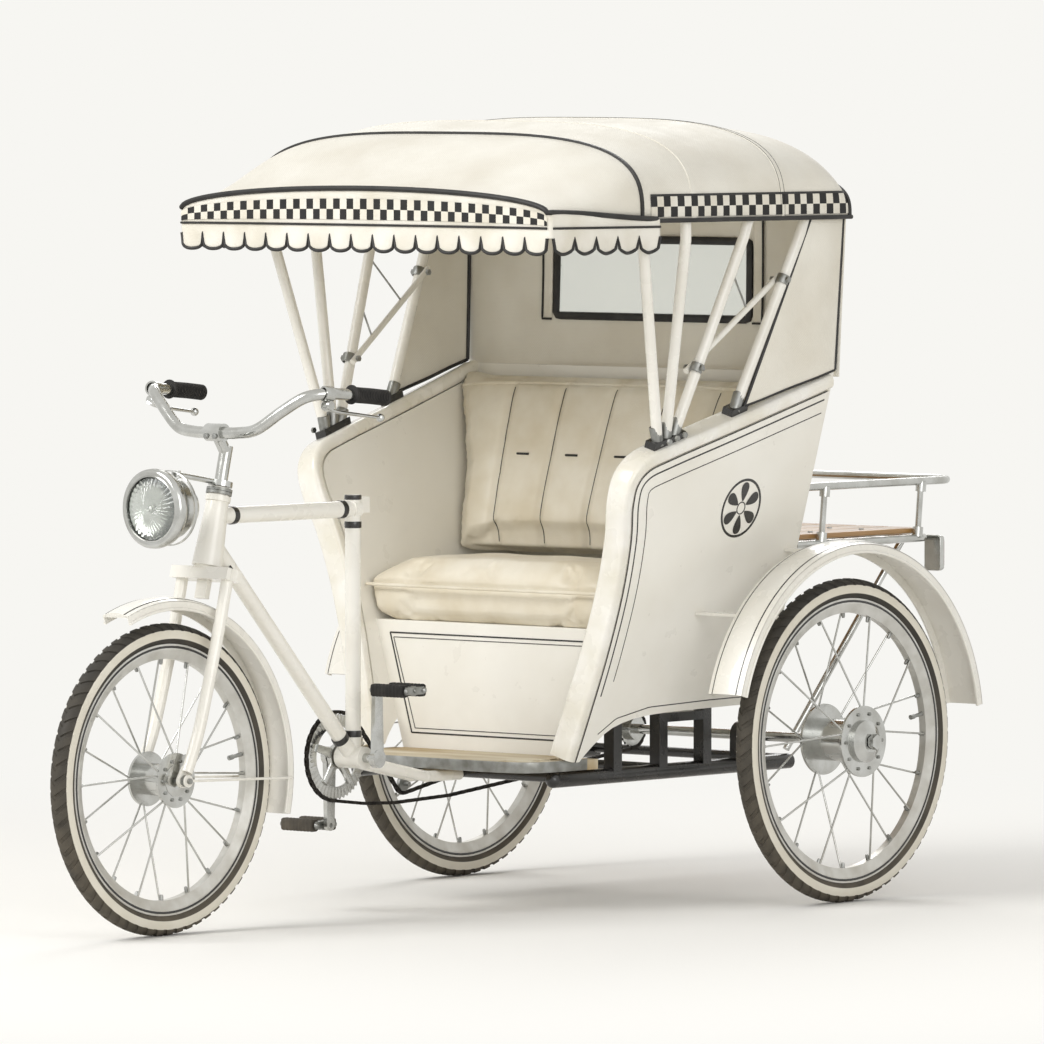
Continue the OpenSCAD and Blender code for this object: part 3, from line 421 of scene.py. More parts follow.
# vulcanised rubber with a white sidewall: UV y runs round the tyre's section, 0 at one bead to 1 at the
# other
tree, shader, black = finish("whitewallRubber",
                             {"colour": "#22211f", "second": "#33312d", "roughness": (0.62, 0.82),
                              "blotchMm": 60, "dust": 0.35, "dustTop": 0.8,
                              "shader": {"Specular IOR Level": 0.4}, "bump": [("noise", 3, 0.1, even)]})
split = addNode(tree, "ShaderNodeSeparateXYZ", inputs={"Vector": (addNode(tree, "ShaderNodeUVMap"), "UV")})
# both sidewalls are alike
fold = addNode(tree, "ShaderNodeMath", {"operation": "PINGPONG"}, {0: (split, "Y"), 1: 0.5})
band = addNode(tree, "ShaderNodeValToRGB", {}, {"Fac": (fold, "Value")})
band.color_ramp.elements[0].position, band.color_ramp.elements[0].color = 0.105, (0, 0, 0, 1)
band.color_ramp.elements[1].position, band.color_ramp.elements[1].color = 0.11, (1, 1, 1, 1)
for stopAt, level in ((0.262, 1), (0.268, 0)):
    band.color_ramp.elements.new(stopAt).color = (level, level, level, 1)
chalk = addNode(tree, "ShaderNodeTexNoise",
                inputs={"Vector": (addNode(tree, "ShaderNodeTexCoord"), "Object"), "Scale": 14.0,
                        "Detail": 4.0})
white = addNode(tree, "ShaderNodeMix", {"data_type": "RGBA"},
                {"Factor": (chalk, "Fac"), 6: linear("#e4dfd2"), 7: linear("#cfc8b6")})
wall = addNode(tree, "ShaderNodeMix", {"data_type": "RGBA"},
               {"Factor": (band, "Color"), 6: (black, 2), 7: (white, 2)})
tree.links.new(wall.outputs[2], shader.inputs["Base Color"])

# printed cotton band: UV x counts squares along it and UV y its rows
tree, shader, ground = finish("checkBand",
                              {"colour": "#e8e4d8", "second": "#dcd5c4", "roughness": (0.6, 0.78),
                               "blotchMm": 90, "bump": [("woven", 3, 0.2, even)]})
checks = addNode(tree, "ShaderNodeTexChecker",
                 inputs={"Vector": (addNode(tree, "ShaderNodeUVMap"), "UV"), "Scale": 1.0})
ink = addNode(tree, "ShaderNodeMix", {"data_type": "RGBA"},
              {"Factor": (checks, "Fac"), 6: (ground, 2), 7: linear("#191817")})
tree.links.new(ink.outputs[2], shader.inputs["Base Color"])
print("materials:", len(materials))

# CAD nodes whose shape is right take a finish
dressed = {"ivoryEnamel": ["main_frame", "fork", "left_mudguard", "right_mudguard", "front_mudguard",
                           "hood_braces"],
           "paintedPly": ["left_side_wall", "right_side_wall", "back_panel", "seat_box"],
           "blackEnamel": ["chassis", "axle_bearings", "hood_brackets"], "footPlanks": ["footboard"],
           "zincSteel": ["front_axle", "chain_idler"],
           "rolledRim": ["front_rim", "left_rim", "right_rim"],
           "chromePlate": ["stem", "headlamp", "lamp_bracket", "rear_axle", "crankset", "front_hub",
                           "left_hub", "right_hub", "luggage_rack"], }
for name, members in dressed.items():
    for node in members:
        for slotOf in nodes[node].material_slots:
            slotOf.material = materials[name]

wheelLook = {"lugs": 66, "lugDepth": 3.2, "tyreWidth": 50, "spokes": 20}


def tyreShape(centre, radius, look):
    # Section: a circle of the tyre's width about its crown line, from bead to bead, with UV y along
    # it. Round the wheel the columns of each lug stand at full height and those of each groove sink
    # by the lug depth, fading out at the shoulder; the columns lean with distance from the crown, so
    # the lugs are chevrons.
    width = look["tyreWidth"]
    half = np.r_[np.linspace(4, 61, 7), np.linspace(66, 136, 9)]
    phi = np.radians(np.r_[-half[::-1], 0, half])
    share = np.array([0, 0.30, 0.60, 0.65, 0.95])
    groove = np.array([0, 0, 0, 1, 1.0])
    lug = (np.arange(look["lugs"])[:, None] + share[None]).ravel()
    sink = np.tile(groove, look["lugs"])
    turn = 2 * math.pi / look["lugs"] * (lug[:, None] + 0.55 * np.abs(phi)[None])
    tread = smoothStep((math.radians(64) - np.abs(phi)) / 0.06)
    shoulderRing = 0.9 * np.exp(-((np.abs(phi) - math.radians(66)) / 0.05) ** 2)
    beadRing = 0.7 * np.exp(-((np.abs(phi) - math.radians(112)) / 0.05) ** 2)
    arm = width / 2 - look["lugDepth"] * sink[:, None] * tread[None] + 0.6 * (shoulderRing + beadRing
                                                                              + tread - 1)[None]
    out = radius - width / 2 + arm * np.cos(phi)
    x = arm * np.sin(phi)
    grid = np.stack([x, out * np.sin(turn), out * np.cos(turn)], 2) + np.asarray(centre, float)
    v = (np.degrees(phi) + 136) / 272
    uv = np.stack(np.broadcast_arrays(lug[:, None] / 8, v[None]), 2)
    return gridSurface(at(grid), closedU=True, closedV=True, uv=uv)


def nippleShapes(centre, radius, look):
    # spoke nipples and the valve: small turned barrels pointing at the hub
    a = np.arange(look["spokes"]) * 2 * math.pi / look["spokes"]
    axes = np.stack([0 * a, -np.cos(a), -np.sin(a)], 1)
    centres = at(np.asarray(centre, float) - axes * (radius - 73))
    barrel = turned([(-0.002, 0.0045), (0.010, 0.0042), (0.014, 0.0030), (0.014, 0)], (0, 0, 0),
                    (0, 0, 1), 8)
    valveAxis = np.array([[0, -math.cos(0.16), -math.sin(0.16)]])
    valve = turned([(-0.002, 0.005), (0.026, 0.004), (0.028, 0.0055), (0.040, 0.0055), (0.042, 0)],
                   (0, 0, 0), (0, 0, 1), 10)
    return [repeated(barrel, centres, axes),
            repeated(valve, at(np.asarray(centre, float) - valveAxis * (radius - 75)), valveAxis)]


def rimLines(centre, radius):
    # black lining painted on each face of the rim
    shapes = []
    for x in (-18.3, 18.3):
        face = math.copysign(1, x)
        shapes.append(turned([(0, (radius - 47) / 1000), (face * 0.0006, (radius - 48) / 1000),
                              (face * 0.0006, (radius - 51) / 1000), (0, (radius - 52) / 1000)],
                             at(np.add(centre, (x, 0, 0))), (1, 0, 0), 96))
    return shapes


# each wheel: side, body, across, behind the rear axle, tyre radius, flange radius, half the flanges'
# spacing
wheels = [("front", "front_wheel", 0, -1600, 330, 58, 43),
          ("left", "left_wheel", 555, 0, 355, 78, 58),
          ("right", "driven_wheel", -555, 0, 355, 78, 58)]
for side, body, x, y, radius, flange, halfWidth in wheels:
    centre = (x, y, radius)
    makePiece(side + "Tyre", [tyreShape(centre, radius, wheelLook)], "whitewallRubber", body,
              [side + "_tyre"], sharp=28)
    makePiece(side + "Nipples", nippleShapes(centre, radius, wheelLook), "zincSteel", body)
    makePiece(side + "RimLining", rimLines(centre, radius), "blackEnamel", body)
    # ten bolts round each hub flange
    a = np.arange(10) * math.pi / 5
    boltY, boltZ = y + (flange - 16) * np.cos(a), radius + (flange - 16) * np.sin(a)
    bolts = [repeated(boltHead(0.0042, 0.0035), at(np.stack([0 * a + x + s * halfWidth, boltY, boltZ], 1)),
                      np.tile([s, 0, 0], (10, 1))) for s in (-1, 1)]
    makePiece(side + "HubBolts", bolts, "zincSteel", body)
print("wheels done")


hood = {"visorY": -957, "rearY": 22, "halfWidth": 556, "visorHalf": 524, "hem": 1500, "visorHem": 1518,
        "sag": 7, "seamWidth": 16, "checksLow": 1508, "square": 22, "scallop": 54, "fascia": 1487,
        "sideLength": 320, "scallops": (5, 17, 5), "piping": (5, 6)}
crownPoints = [(-957, 1566), (-840, 1622), (-720, 1674), (-600, 1702), (-450, 1712), (-250, 1714),
               (-110, 1708), (-50, 1690), (-8, 1655), (22, 1600)]
crown = curveThrough(crownPoints, 12)
bowCrowns = [-716, -514, -213, -22]   # where each bow meets the roof, front to rear


def roofPoint(y, angle, inset=0.0):
    # Across the hood at y the roof is a superellipse: x = w sin(a)^(2/n) and z = hem + h
    # cos(a)^(2/n), with a from -90 to 90 degrees; w, hem, h and n change with y along the crown's
    # line. Between bows it sags by sin squared.
    y, angle = np.broadcast_arrays(np.asarray(y, float), np.asarray(angle, float))
    t = smoothStep((y - hood["visorY"]) / 300)
    w = hood["visorHalf"] + (hood["halfWidth"] - hood["visorHalf"]) * t - inset
    hem = hood["visorHem"] + (hood["hem"] - hood["visorHem"]) * smoothStep((y - hood["visorY"]) / 340)
    n = 2 + 1.3 * t
    top = np.interp(y, crown[:, 0], crown[:, 1]) - inset
    gap = np.array([hood["visorY"]] + bowCrowns + [hood["rearY"]])
    k = np.clip(np.searchsorted(gap, y, side="right") - 1, 0, len(gap) - 2)
    part = (y - gap[k]) / (gap[k + 1] - gap[k])
    slack = hood["sag"] * np.sin(math.pi * np.clip(part, 0,
                                                   1)) ** 2 * (y > bowCrowns[0]) * (y < bowCrowns[3])
    s, c = np.sin(angle), np.maximum(np.cos(angle), 0)
    x = np.sign(s) * (w - slack * 0.5 * np.abs(s)) * np.abs(s) ** (2 / n)
    z = hem + (top - slack * c - hem) * c ** (2 / n)
    return np.stack([x, y, z], -1)


stations = np.unique(np.r_[np.linspace(hood["visorY"], -60, 88), np.linspace(-60, hood["rearY"], 22)])
angles = np.linspace(-math.pi / 2, math.pi / 2, 91)
roofGrid = roofPoint(stations[:, None], angles[None])
roof = makePiece("HoodRoof", [gridSurface(at(roofGrid), flip=True)], "hoodCanvas", "chassis",
                 ["hood_roof"], sharp=60, solid=0.004)
roof.data.materials.append(materials["hoodLining"])
roof.modifiers["Thickness"].material_offset = 1


def roofStrip(y, width, lift, steps=91):
    # a flat band over the roof along one bow, its edges turned down to the canvas
    a = np.linspace(-math.pi / 2, math.pi / 2, steps)
    offsets = np.array([(-width / 2, 0), (-width / 2 + 1, lift), (width / 2 - 1, lift), (width / 2, 0)])
    base = roofPoint(np.full(steps, float(y)), a)
    inner = roofPoint(np.full(steps, float(y)), a, 6.0)
    out = unit(base - inner)
    grid = base[:, None] + offsets[None, :, :1] * np.array([0, 1.0, 0]) + (offsets[None, :, 1:]
                                                                           - 0.6) * out[:, None]
    return gridSurface(at(grid))


seams = [roofStrip(y, hood["seamWidth"], 2.0) for y in bowCrowns[1:3]]
makePiece("HoodSeams", seams, "hoodCanvas", "chassis")
makePiece("HoodSeamStitching", [roofStrip(bowCrowns[2] + s * 6.5, 1.8, 3.0) for s in (-1, 1)],
          "blackPiping", "chassis")
frontSeam = roofStrip(bowCrowns[0] + 30, 9, 5.5)
rearSeam = roofStrip(hood["rearY"] - 5, 10, 5)
makePiece("HoodBinding", [frontSeam, rearSeam], "blackPiping", "chassis")


def tube(points, radius, up=(0, 0, 1), sides=10, closed=False, flat=1.0):
    return sweep(at(points), circle(radius / 1000, sides, flat), up, closed=closed)


def ringOn(centre, axis, radius, width=14.0, proud=1.6):
    # a lug's end or painted band: a short sleeve round a tube with eased edges
    w = width / 2000
    return turned([(-w, (radius - 0.6) / 1000), (-w, (radius + proud * 0.7) / 1000),
                   (-w * 0.7, (radius + proud) / 1000), (w * 0.7, (radius + proud) / 1000),
                   (w, (radius + proud * 0.7) / 1000), (w, (radius - 0.6) / 1000)], at(centre), axis,
                  32)


def hemLine(y, lift=0.0, out=0.0):
    base = roofPoint(y, np.full(len(y), math.pi / 2))
    base[:, 2] += lift
    base[:, 0] += out
    return base


sideY = np.linspace(-655, hood["rearY"], 90)
visorSideY = np.linspace(hood["visorY"] + 2, -640, 40)
frontA = np.linspace(-math.pi / 2, math.pi / 2, 121)
frontEdge = roofPoint(np.full(121, hood["visorY"] - 1.0), frontA)
lower = tube(hemLine(sideY, 0, 3), hood["piping"][0])
visorTop = np.vstack([hemLine(visorSideY[::-1], 4, 5) * [-1, 1, 1], frontEdge + [0, -3, 2],
                      hemLine(visorSideY, 4, 5)])
makePiece("HoodHem", [lower, mirrored(lower), tube(evenly(visorTop, 200), hood["piping"][1])],
          "blackPiping", "chassis")


def sideBand(low, high, out, squares):
    # a strip on the hood's side that follows the superellipse between two heights; UV counts squares
    rows = np.linspace(low, high, 7)
    y = sideY
    base = roofPoint(y, np.full(len(y), math.pi / 2))
    h = np.interp(y, crown[:, 0], crown[:, 1]) - base[:, 2]
    lift = np.clip((rows[None] - base[:, 2:3]) / h[:, None], 0, 1)
    x = base[:, :1] * (1 - lift ** 3.3) ** (1 / 3.3) + out
    grid = np.stack([x, np.broadcast_to(y[:, None], x.shape), np.broadcast_to(rows[None], x.shape)], 2)
    along = (y - y[0]) / squares
    uv = np.stack(np.broadcast_arrays(along[:, None], ((rows - low) / squares)[None]), 2)
    return gridSurface(at(grid), flip=True, uv=uv)


checksTop = hood["checksLow"] + 2 * hood["square"]
checkStrip = sideBand(hood["checksLow"], checksTop, 1.6, hood["square"])
makePiece("HoodChecks", [checkStrip, mirrored(checkStrip)], "checkBand", "chassis",
          sharp=60)
edgeLine = sideBand(checksTop, checksTop + 5, 2.2, hood["square"])
edgeLine["uv"] = None
makePiece("HoodBandEdge", [edgeLine, mirrored(edgeLine)], "blackPiping", "chassis",
          sharp=60)

# fascia and scallops: one path round the visor's three sides, with the cloth hanging from it in soft
# pleats
sideLength = hood["sideLength"]
frontY, frontX, wideX = hood["visorY"] - 3.5, hood["visorHalf"] + 8, hood["halfWidth"] + 8
valancePath = np.array([(-wideX, hood["visorY"] + sideLength, 0), (-frontX, frontY + 8, 0),
                        (-frontX + 8, frontY, 0), (frontX - 8, frontY, 0), (frontX, frontY + 8, 0),
                        (wideX, hood["visorY"] + sideLength, 0)], float)
legs = [(valancePath[0], valancePath[1]), (valancePath[2], valancePath[3]),
        (valancePath[4], valancePath[5])]
along, phase = [], []
for (a, b), count in zip(legs, hood["scallops"]):
    t = np.linspace(0, 1, count * 14 + 1)
    along.append(a + (b - a) * t[:, None])
    phase.append(t * count + (phase[-1][-1] if phase else 0))
along, phase = np.vstack(along), np.concatenate(phase)
part = phase % 1.0
part[np.abs(phase - np.round(phase)) < 1e-6] = 0
drop = hood["scallop"] - 20 + 20 * np.sqrt(np.clip(1 - (2 * part - 1) ** 2, 0, 1))
drop[part == 0] = hood["scallop"] - 34
onFront = np.abs(along[:, 1] - frontY) < 1
topZ = np.where(onFront,
                hood["visorHem"]
                + 48 * np.sqrt(np.clip(1 - (along[:, 0] / hood["visorHalf"]) ** 2, 0, 1)) + 2,
                1520 - 16 * np.abs(along[:, 1] - frontY) / sideLength)
outward = unit(np.where(onFront[:, None], [[0, -1.0, 0]],
                        np.stack([np.sign(along[:, 0]), 0 * phase, 0 * phase], 1)))
levels = np.linspace(0, 1, 17)
fasciaShare = 0.45
z = np.where(levels[None] < fasciaShare, topZ[:, None] + (hood["fascia"] - topZ[:, None]) * levels[None]
             / fasciaShare, hood["fascia"] - drop[:, None] * (levels[None] - fasciaShare)
             / (1 - fasciaShare))
swing = 3.4 * np.sin(2 * math.pi * phase)[:, None] * smoothStep((levels[None] - 0.4) / 0.6)
swing += 1.6 * np.sin(6.1 * phase)[:, None] * smoothStep(levels[None] - 0.3)
grid = along[:, None] + outward[:, None] * swing[..., None]
grid[..., 2] = z
valance = makePiece("HoodValance", [gridSurface(at(grid), flip=True)], "whiteCloth", "chassis",
                    ["hood_valance"], sharp=70, solid=0.0022)
bottom = grid[:, -1]
ends = np.cumsum([0] + [14 * n + 1 for n in hood["scallops"]])
runs = [slice(a, b) for a, b in zip(ends[:-1], ends[1:])]
bind = [tube(bottom[run] + [0, 0, -0.5], 3.7, up=(0, 0, 1), sides=8) for run in runs]
makePiece("ValanceBinding", bind, "blackPiping", "chassis", sharp=70)
fasciaGrid = grid[:, 2:7].copy() + outward[:, None] * 1.9
fasciaUv = np.stack(np.broadcast_arrays((phase * 3.2)[:, None], np.linspace(0, 2, 5)[None]), 2)
frontOnly = runs[1]
makePiece("VisorChecks", [gridSurface(at(fasciaGrid[frontOnly]), flip=True, uv=fasciaUv[frontOnly])],
          "checkBand", "chassis", sharp=60)
fasciaEdge = [tube(grid[run, 7] + outward[run] * 1.5, 2.6, sides=8) for run in runs]
makePiece("FasciaPiping", fasciaEdge, "blackPiping", "chassis", sharp=60)

# bows: the same superellipse as the roof in a leaning plane, swept as a round tube
bowLook = {"diameter": 24, "side": 534, "gap": 4, "cloth": 6, "footRise": 38}
floorHalf, floorZ, lean = 306, 330, math.tan(math.radians(16))
edgePoints = [(-640, 331.5), (-626, 430), (-611, 560), (-606, 690), (-616, 800), (-636, 880),
              (-634, 940), (-596, 984), (-516, 1012), (-300, 1072), (-20.3, 1152)]
edgeCurve = curveThrough(edgePoints, 10)


def wallX(z):
    return floorHalf + (np.asarray(z, float) - floorZ) * lean


def railTop(y):
    tail = edgeCurve[70:]
    return np.interp(y, tail[:, 0], tail[:, 1])


def bowLine(footY, topY):
    footZ = railTop(footY) + bowLook["footRise"] - 16
    foot = np.array([wallX(footZ) - 28, footY, footZ])
    up = np.array([0, topY - footY, 1500 - footZ], float)
    rise = np.linalg.norm(up)
    up /= rise
    s = np.linspace(rise, rise + 260, 400)
    under = np.interp(footY + up[1] * s, crown[:, 0],
                      crown[:, 1]) - bowLook["cloth"] - bowLook["diameter"] / 2 - bowLook["gap"]
    top = s[footZ + up[2] * s < under][-1]
    k = np.linspace(0, 1, 12)
    straight = np.stack([foot[0] + (bowLook["side"] - foot[0]) * k, (rise - 40) * k], 1)
    a = np.linspace(0, math.pi / 2, 26)[1:]
    bend = np.stack([bowLook["side"] * np.cos(a) ** (2 / 3.2),
                     rise - 40 + (top - rise + 40) * np.sin(a) ** (2 / 3.2)], 1)
    half = np.vstack([straight, bend])
    points = np.stack([half[:, 0], footY + up[1] * half[:, 1], footZ + up[2] * half[:, 1]], 1)
    points[-1, 0] = 0
    return np.vstack([points, points[-2::-1] * [-1, 1, 1]]), up


bowFeet = [("hood_bow_front", "HoodBowFront", -542, -668),
           ("hood_bow_upright", "HoodBowUpright", -516, -514),
           ("hood_bow_middle", "HoodBowMiddle", -490, -302),
           ("hood_bow_rear", "HoodBowRear", -300, -109)]
footAt, footAxis = [], []
for node, name, footY, topY in bowFeet:
    line, up = bowLine(footY, topY)
    makePiece(name,
              [sweep(at(evenly(line, 160)), circle(bowLook["diameter"] / 2000, 18),
                     (0, up[2], -up[1]))], "ivoryEnamel", "chassis", [node], sharp=50)
    for end in (line[0], line[-1]):
        footAt.append(end - up * 3)
        footAxis.append(up)
ferrule = turned([(-0.010, 0), (-0.010, 0.0130), (0.030, 0.0138), (0.033, 0.0134), (0.034, 0.0118)],
                 (0, 0, 0), (0, 0, 1), 20)
pins = repeated(boltHead(0.007, 0.006),
                at([(s * (wallX(1034) + 2), y, 1030 + 0.27 * (y + 516)) for s in (-1, 1)
                    for y in (-542, -516, -490)]), [(s, 0, 0) for s in (-1, 1) for _ in range(3)])
makePiece("BowFerrules", [repeated(ferrule, at(footAt), footAxis), pins], "zincSteel", "chassis")

# thin stay rods between the bows, one pair a side


def legAt(footY, topY, z):
    # a point of a bow's straight leg at height z
    footZ = railTop(footY) + bowLook["footRise"]
    rise = math.hypot(topY - footY, 1500 - footZ)
    k = (z - footZ) / (1500 - footZ)
    x = wallX(footZ) - 28 + (bowLook["side"] - wallX(footZ) + 28) * min(1, k * rise / (rise - 40))
    return np.array([x, footY + (topY - footY) * k, z])


low, high = legAt(-490, -302, 1180), legAt(-300, -109, 1366)
inside = np.array([-(bowLook["diameter"] + 14) / 2 - 0.6, 0, 0])
wires = []
for z, share in ((1395, 0.66), (1288, 0.24)):
    wires.append(tube(evenly(np.stack([legAt(-490, -302, z) + [-9, 4, 0],
                                       low + inside + (high - low) * share]), 6), 2.2))
clips = []
for middle, axis in ((low, legAt(-490, -302, 1200) - low), (high, legAt(-300, -109, 1386) - high)):
    clips.append(ringOn(middle, unit(axis), bowLook["diameter"] / 2, 20, 2.2))
    clips.append(repeated(boltHead(0.0075, 0.006),
                          at([middle + inside + [-7, 0, 0], middle + [13.5, 0, 0]]),
                          [(-1, 0, 0), (1, 0, 0)]))
makePiece("HoodStays", bothSides(wires), "zincSteel", "chassis")
makePiece("BraceClips", bothSides(clips), "zincSteel", "chassis")


# back curtain and quarters: sheets stretched between the roof's rear ring and the body, a little loose
def backPoint(u, v):
    # u across from -1 to 1, v from the body at 0 to the roof's ring at 1
    a = np.arcsin(np.clip(u, -1, 1))
    ring = roofPoint(np.full(u.shape, float(hood["rearY"]) - 6), u * math.pi / 2, 9.0)
    low = np.stack([u * 534, np.full(u.shape, 8.0), np.full(u.shape, 1150.0)], -1)
    p = low + (ring - low) * v[..., None]
    p[..., 1] += 5 * np.sin(math.pi * v) * np.cos(u * math.pi / 2) + 1.5 * np.sin(u * 17) * v * (1 - v) * 3
    return p


us, vs = np.linspace(-1, 1, 81), np.linspace(0, 1, 61)
backGrid = backPoint(us[:, None] + 0 * vs[None], vs[None] + 0 * us[:, None])
window = {"halfWidth": 276, "low": 1270, "high": 1442, "frame": 18, "corner": 9, "lap": 3}
edgeX, lowEdge, highEdge = window["halfWidth"], window["low"], window["high"]
# the nearest lines of the grid are pulled onto the window's edges
nearX = (np.abs(np.abs(backGrid[..., 0]) - edgeX) < 8) & (backGrid[..., 2] > lowEdge
                                                          - 6) & (backGrid[..., 2] < highEdge + 6)
backGrid[..., 0] = np.where(nearX, np.sign(backGrid[..., 0]) * edgeX, backGrid[..., 0])
for level in (lowEdge, highEdge):
    nearZ = (np.abs(backGrid[..., 2] - level) < 5.5) & (np.abs(backGrid[..., 0]) < edgeX + 6)
    backGrid[..., 2] = np.where(nearZ, level, backGrid[..., 2])
sheetShape = gridSurface(at(backGrid))
quads = sheetShape["faces"][0]
centreX = np.abs(backGrid.reshape(-1, 3)[quads][:, :, 0]).max(1)
centreZ = backGrid.reshape(-1, 3)[quads][:, :, 2]
hole = (centreX < edgeX + 1) & (centreZ.max(1) < highEdge + 1) & (centreZ.min(1) > lowEdge - 1)
sheetShape["faces"] = [quads[~hole]]
back = makePiece("HoodBack", [sheetShape], "hoodCanvas", "chassis", ["hood_back"],
                 sharp=60, solid=0.003)
cornerArc = []
farX = edgeX + window["lap"] - window["corner"]
lowZ, highZ = lowEdge + window["corner"], highEdge - window["corner"]
for k, (x, zz) in enumerate([(-farX, lowZ), (farX, lowZ), (farX, highZ), (-farX, highZ)]):
    a = np.radians(np.linspace(180, 270, 7) + 90 * k)
    cornerArc.append(np.stack([x + window["corner"] * np.cos(a), 0 * a,
                               zz + window["corner"] * np.sin(a)], 1))
windowLoop = evenly(np.vstack(cornerArc + [cornerArc[0][:1]]), 140)[:-1]


def curtainY(x, z):
    # the middle of the curtain's thickness at x and z: a mean of its points, weighted by 1 / (distance
    # squared + 25) squared
    flat = backGrid.reshape(-1, 3)
    gap = (x[:, None] - flat[None, :, 0]) ** 2 + (z[:, None] - flat[None, :, 2]) ** 2
    weight = 1 / (gap + 25) ** 2
    return (weight * flat[None, :, 1]).sum(1) / weight.sum(1) - 1.5


windowLoop[:, 1] = curtainY(windowLoop[:, 0], windowLoop[:, 2])
windowSill = sweep(at(windowLoop), roundedBox(window["frame"] / 1000, 0.011, 0.004, 2), (0, 1, 0),
                   closed=True)
makePiece("WindowFrame", [windowSill], "blackPiping", "chassis")
paneX, paneZ = np.linspace(-edgeX, edgeX, 24), np.linspace(lowEdge + 2, highEdge - 2, 12)
paneGrid = np.stack(np.broadcast_arrays(paneX[:, None], 0.0, paneZ[None]), 2)
paneGrid[..., 1] = curtainY(paneGrid[..., 0].ravel(), paneGrid[..., 2].ravel()).reshape(24, 12)
makePiece("WindowPane", [gridSurface(at(paneGrid))], "clearVinyl", "chassis", sharp=80)

# a white strap beside the window on each side, which ties the rolled blind, with its bound outer edge
strap = {"x": 304, "width": 27, "low": 1262, "high": 1500}
strapX = strap["x"] + np.linspace(-0.5, 0.5, 7) * strap["width"]
strapZ = np.linspace(strap["low"], strap["high"], 40)
strapGrid = np.stack(np.broadcast_arrays(strapX[:, None], 0.0, strapZ[None]), 2)
strapGrid[..., 1] = curtainY(strapGrid[..., 0].ravel(), strapGrid[..., 2].ravel()).reshape(7, 40) - 2.4
strapShape = gridSurface(at(strapGrid))
makePiece("WindowStraps", [strapShape, mirrored(strapShape)], "whiteCloth", "chassis",
          sharp=60, solid=0.002)
strapEdge = tube(np.vstack([strapGrid[0, :1], strapGrid[-1]]) + [0, -1.4, 0], 2.4, up=(0, 1, 0), sides=8)
makePiece("StrapBinding", bothSides([strapEdge]), "blackPiping", "chassis")

quarterV = np.linspace(0, 1, 41)
quarterU = np.linspace(0, 1, 31)
frontLow, frontHigh = np.array([wallX(1094) - 16, -286, 1094.0]), np.array([541, -98, 1502.0])
rearLow, rearHigh = np.array([wallX(1165) - 14, -2, 1166.0]), np.array([541, 16, 1502.0])
front = frontLow + (frontHigh - frontLow) * quarterV[:, None]
rear = rearLow + (rearHigh - rearLow) * quarterV[:, None]
quarterGrid = front[None] + (rear - front)[None] * quarterU[:, None, None]
quarterGrid[..., 0] += 3.5 * np.sin(math.pi * quarterU)[:, None] * np.sin(math.pi * quarterV)[None]
quarterGrid[..., 0] += 1.6 * np.sin(3.2 * math.pi * quarterU[:, None] + 2 * quarterV[None])
quarter = gridSurface(at(quarterGrid), flip=True)
quarters = makePiece("HoodQuarters", [quarter, mirrored(quarter)], "hoodCanvas", "chassis",
                     ["hood_quarters"], sharp=70, solid=0.003)
edges = [tube(quarterGrid[0], 4, up=(1, 0, 0)), tube(quarterGrid[-1], 5, up=(1, 0, 0)),
         tube(quarterGrid[:, 0], 4, up=(1, 0, 0))]
makePiece("QuarterBinding", bothSides(edges), "blackPiping", "chassis")
print("hood done")


# body: coaming, coach lines and emblem
bodyLook = {"coaming": 30, "outside": 3, "inside": 57, "lineInset": (46, 74), "emblem": 62,
            "emblemAt": (-238, 869)}
slope = math.radians(16)


def onWall(y, z, out):
    # a point of the left wall, out millimetres from its outer face along the face's own normal
    y, z, out = np.broadcast_arrays(np.asarray(y, float), np.asarray(z, float), np.asarray(out, float))
    return np.stack([wallX(z) + math.cos(slope) * out, y, z - math.sin(slope) * out], -1)


def inward(line):
    # unit normals of an edge line in the wall's plane, to its inner side
    t = unit(np.gradient(line, axis=0))
    return np.stack([t[:, 1], -t[:, 0]], 1)


edge = evenly(edgeCurve, 150)
# half-round moulding: its section is a rounded bar that straddles the wall's edge, carried along that
# edge
across = roundedBox(bodyLook["outside"] + bodyLook["inside"], bodyLook["coaming"], 11, 4)
normals = inward(edge)
middle = (bodyLook["outside"] - bodyLook["inside"]) / 2
depth = bodyLook["coaming"] / 2 - 1
ring = edge[:, None] + normals[:, None] * (depth - across[None, :, 1:])
out = np.broadcast_to(across[None, :, 0] + middle, ring.shape[:2])
coamingShape = gridSurface(at(onWall(ring[..., 0], ring[..., 1], out)), closedV=True, flip=True)
m = len(across)
coamingShape["faces"] += [np.arange(m)[None, ::-1], (np.arange(m) + (len(edge) - 1) * m)[None]]
for sideName, shape in (("Left", coamingShape), ("Right", mirrored(coamingShape))):
    makePiece(sideName + "Coaming", [shape], "paintedMoulding", "chassis",
              [sideName.lower() + "_coaming"], sharp=50)


def faceStripe(line, width, lift=0.5):
    # a painted line with soft edges, laid on the wall's outer face
    normal = inward(line)
    rows = np.array([(-width / 2, -0.3), (-width / 2 + 0.6, lift), (width / 2 - 0.6, lift),
                     (width / 2, -0.3)])
    place = line[:, None] + normal[:, None] * rows[None, :, :1]
    return gridSurface(at(onWall(place[..., 0], place[..., 1],
                                 np.broadcast_to(rows[None, :, 1], place.shape[:2]))))


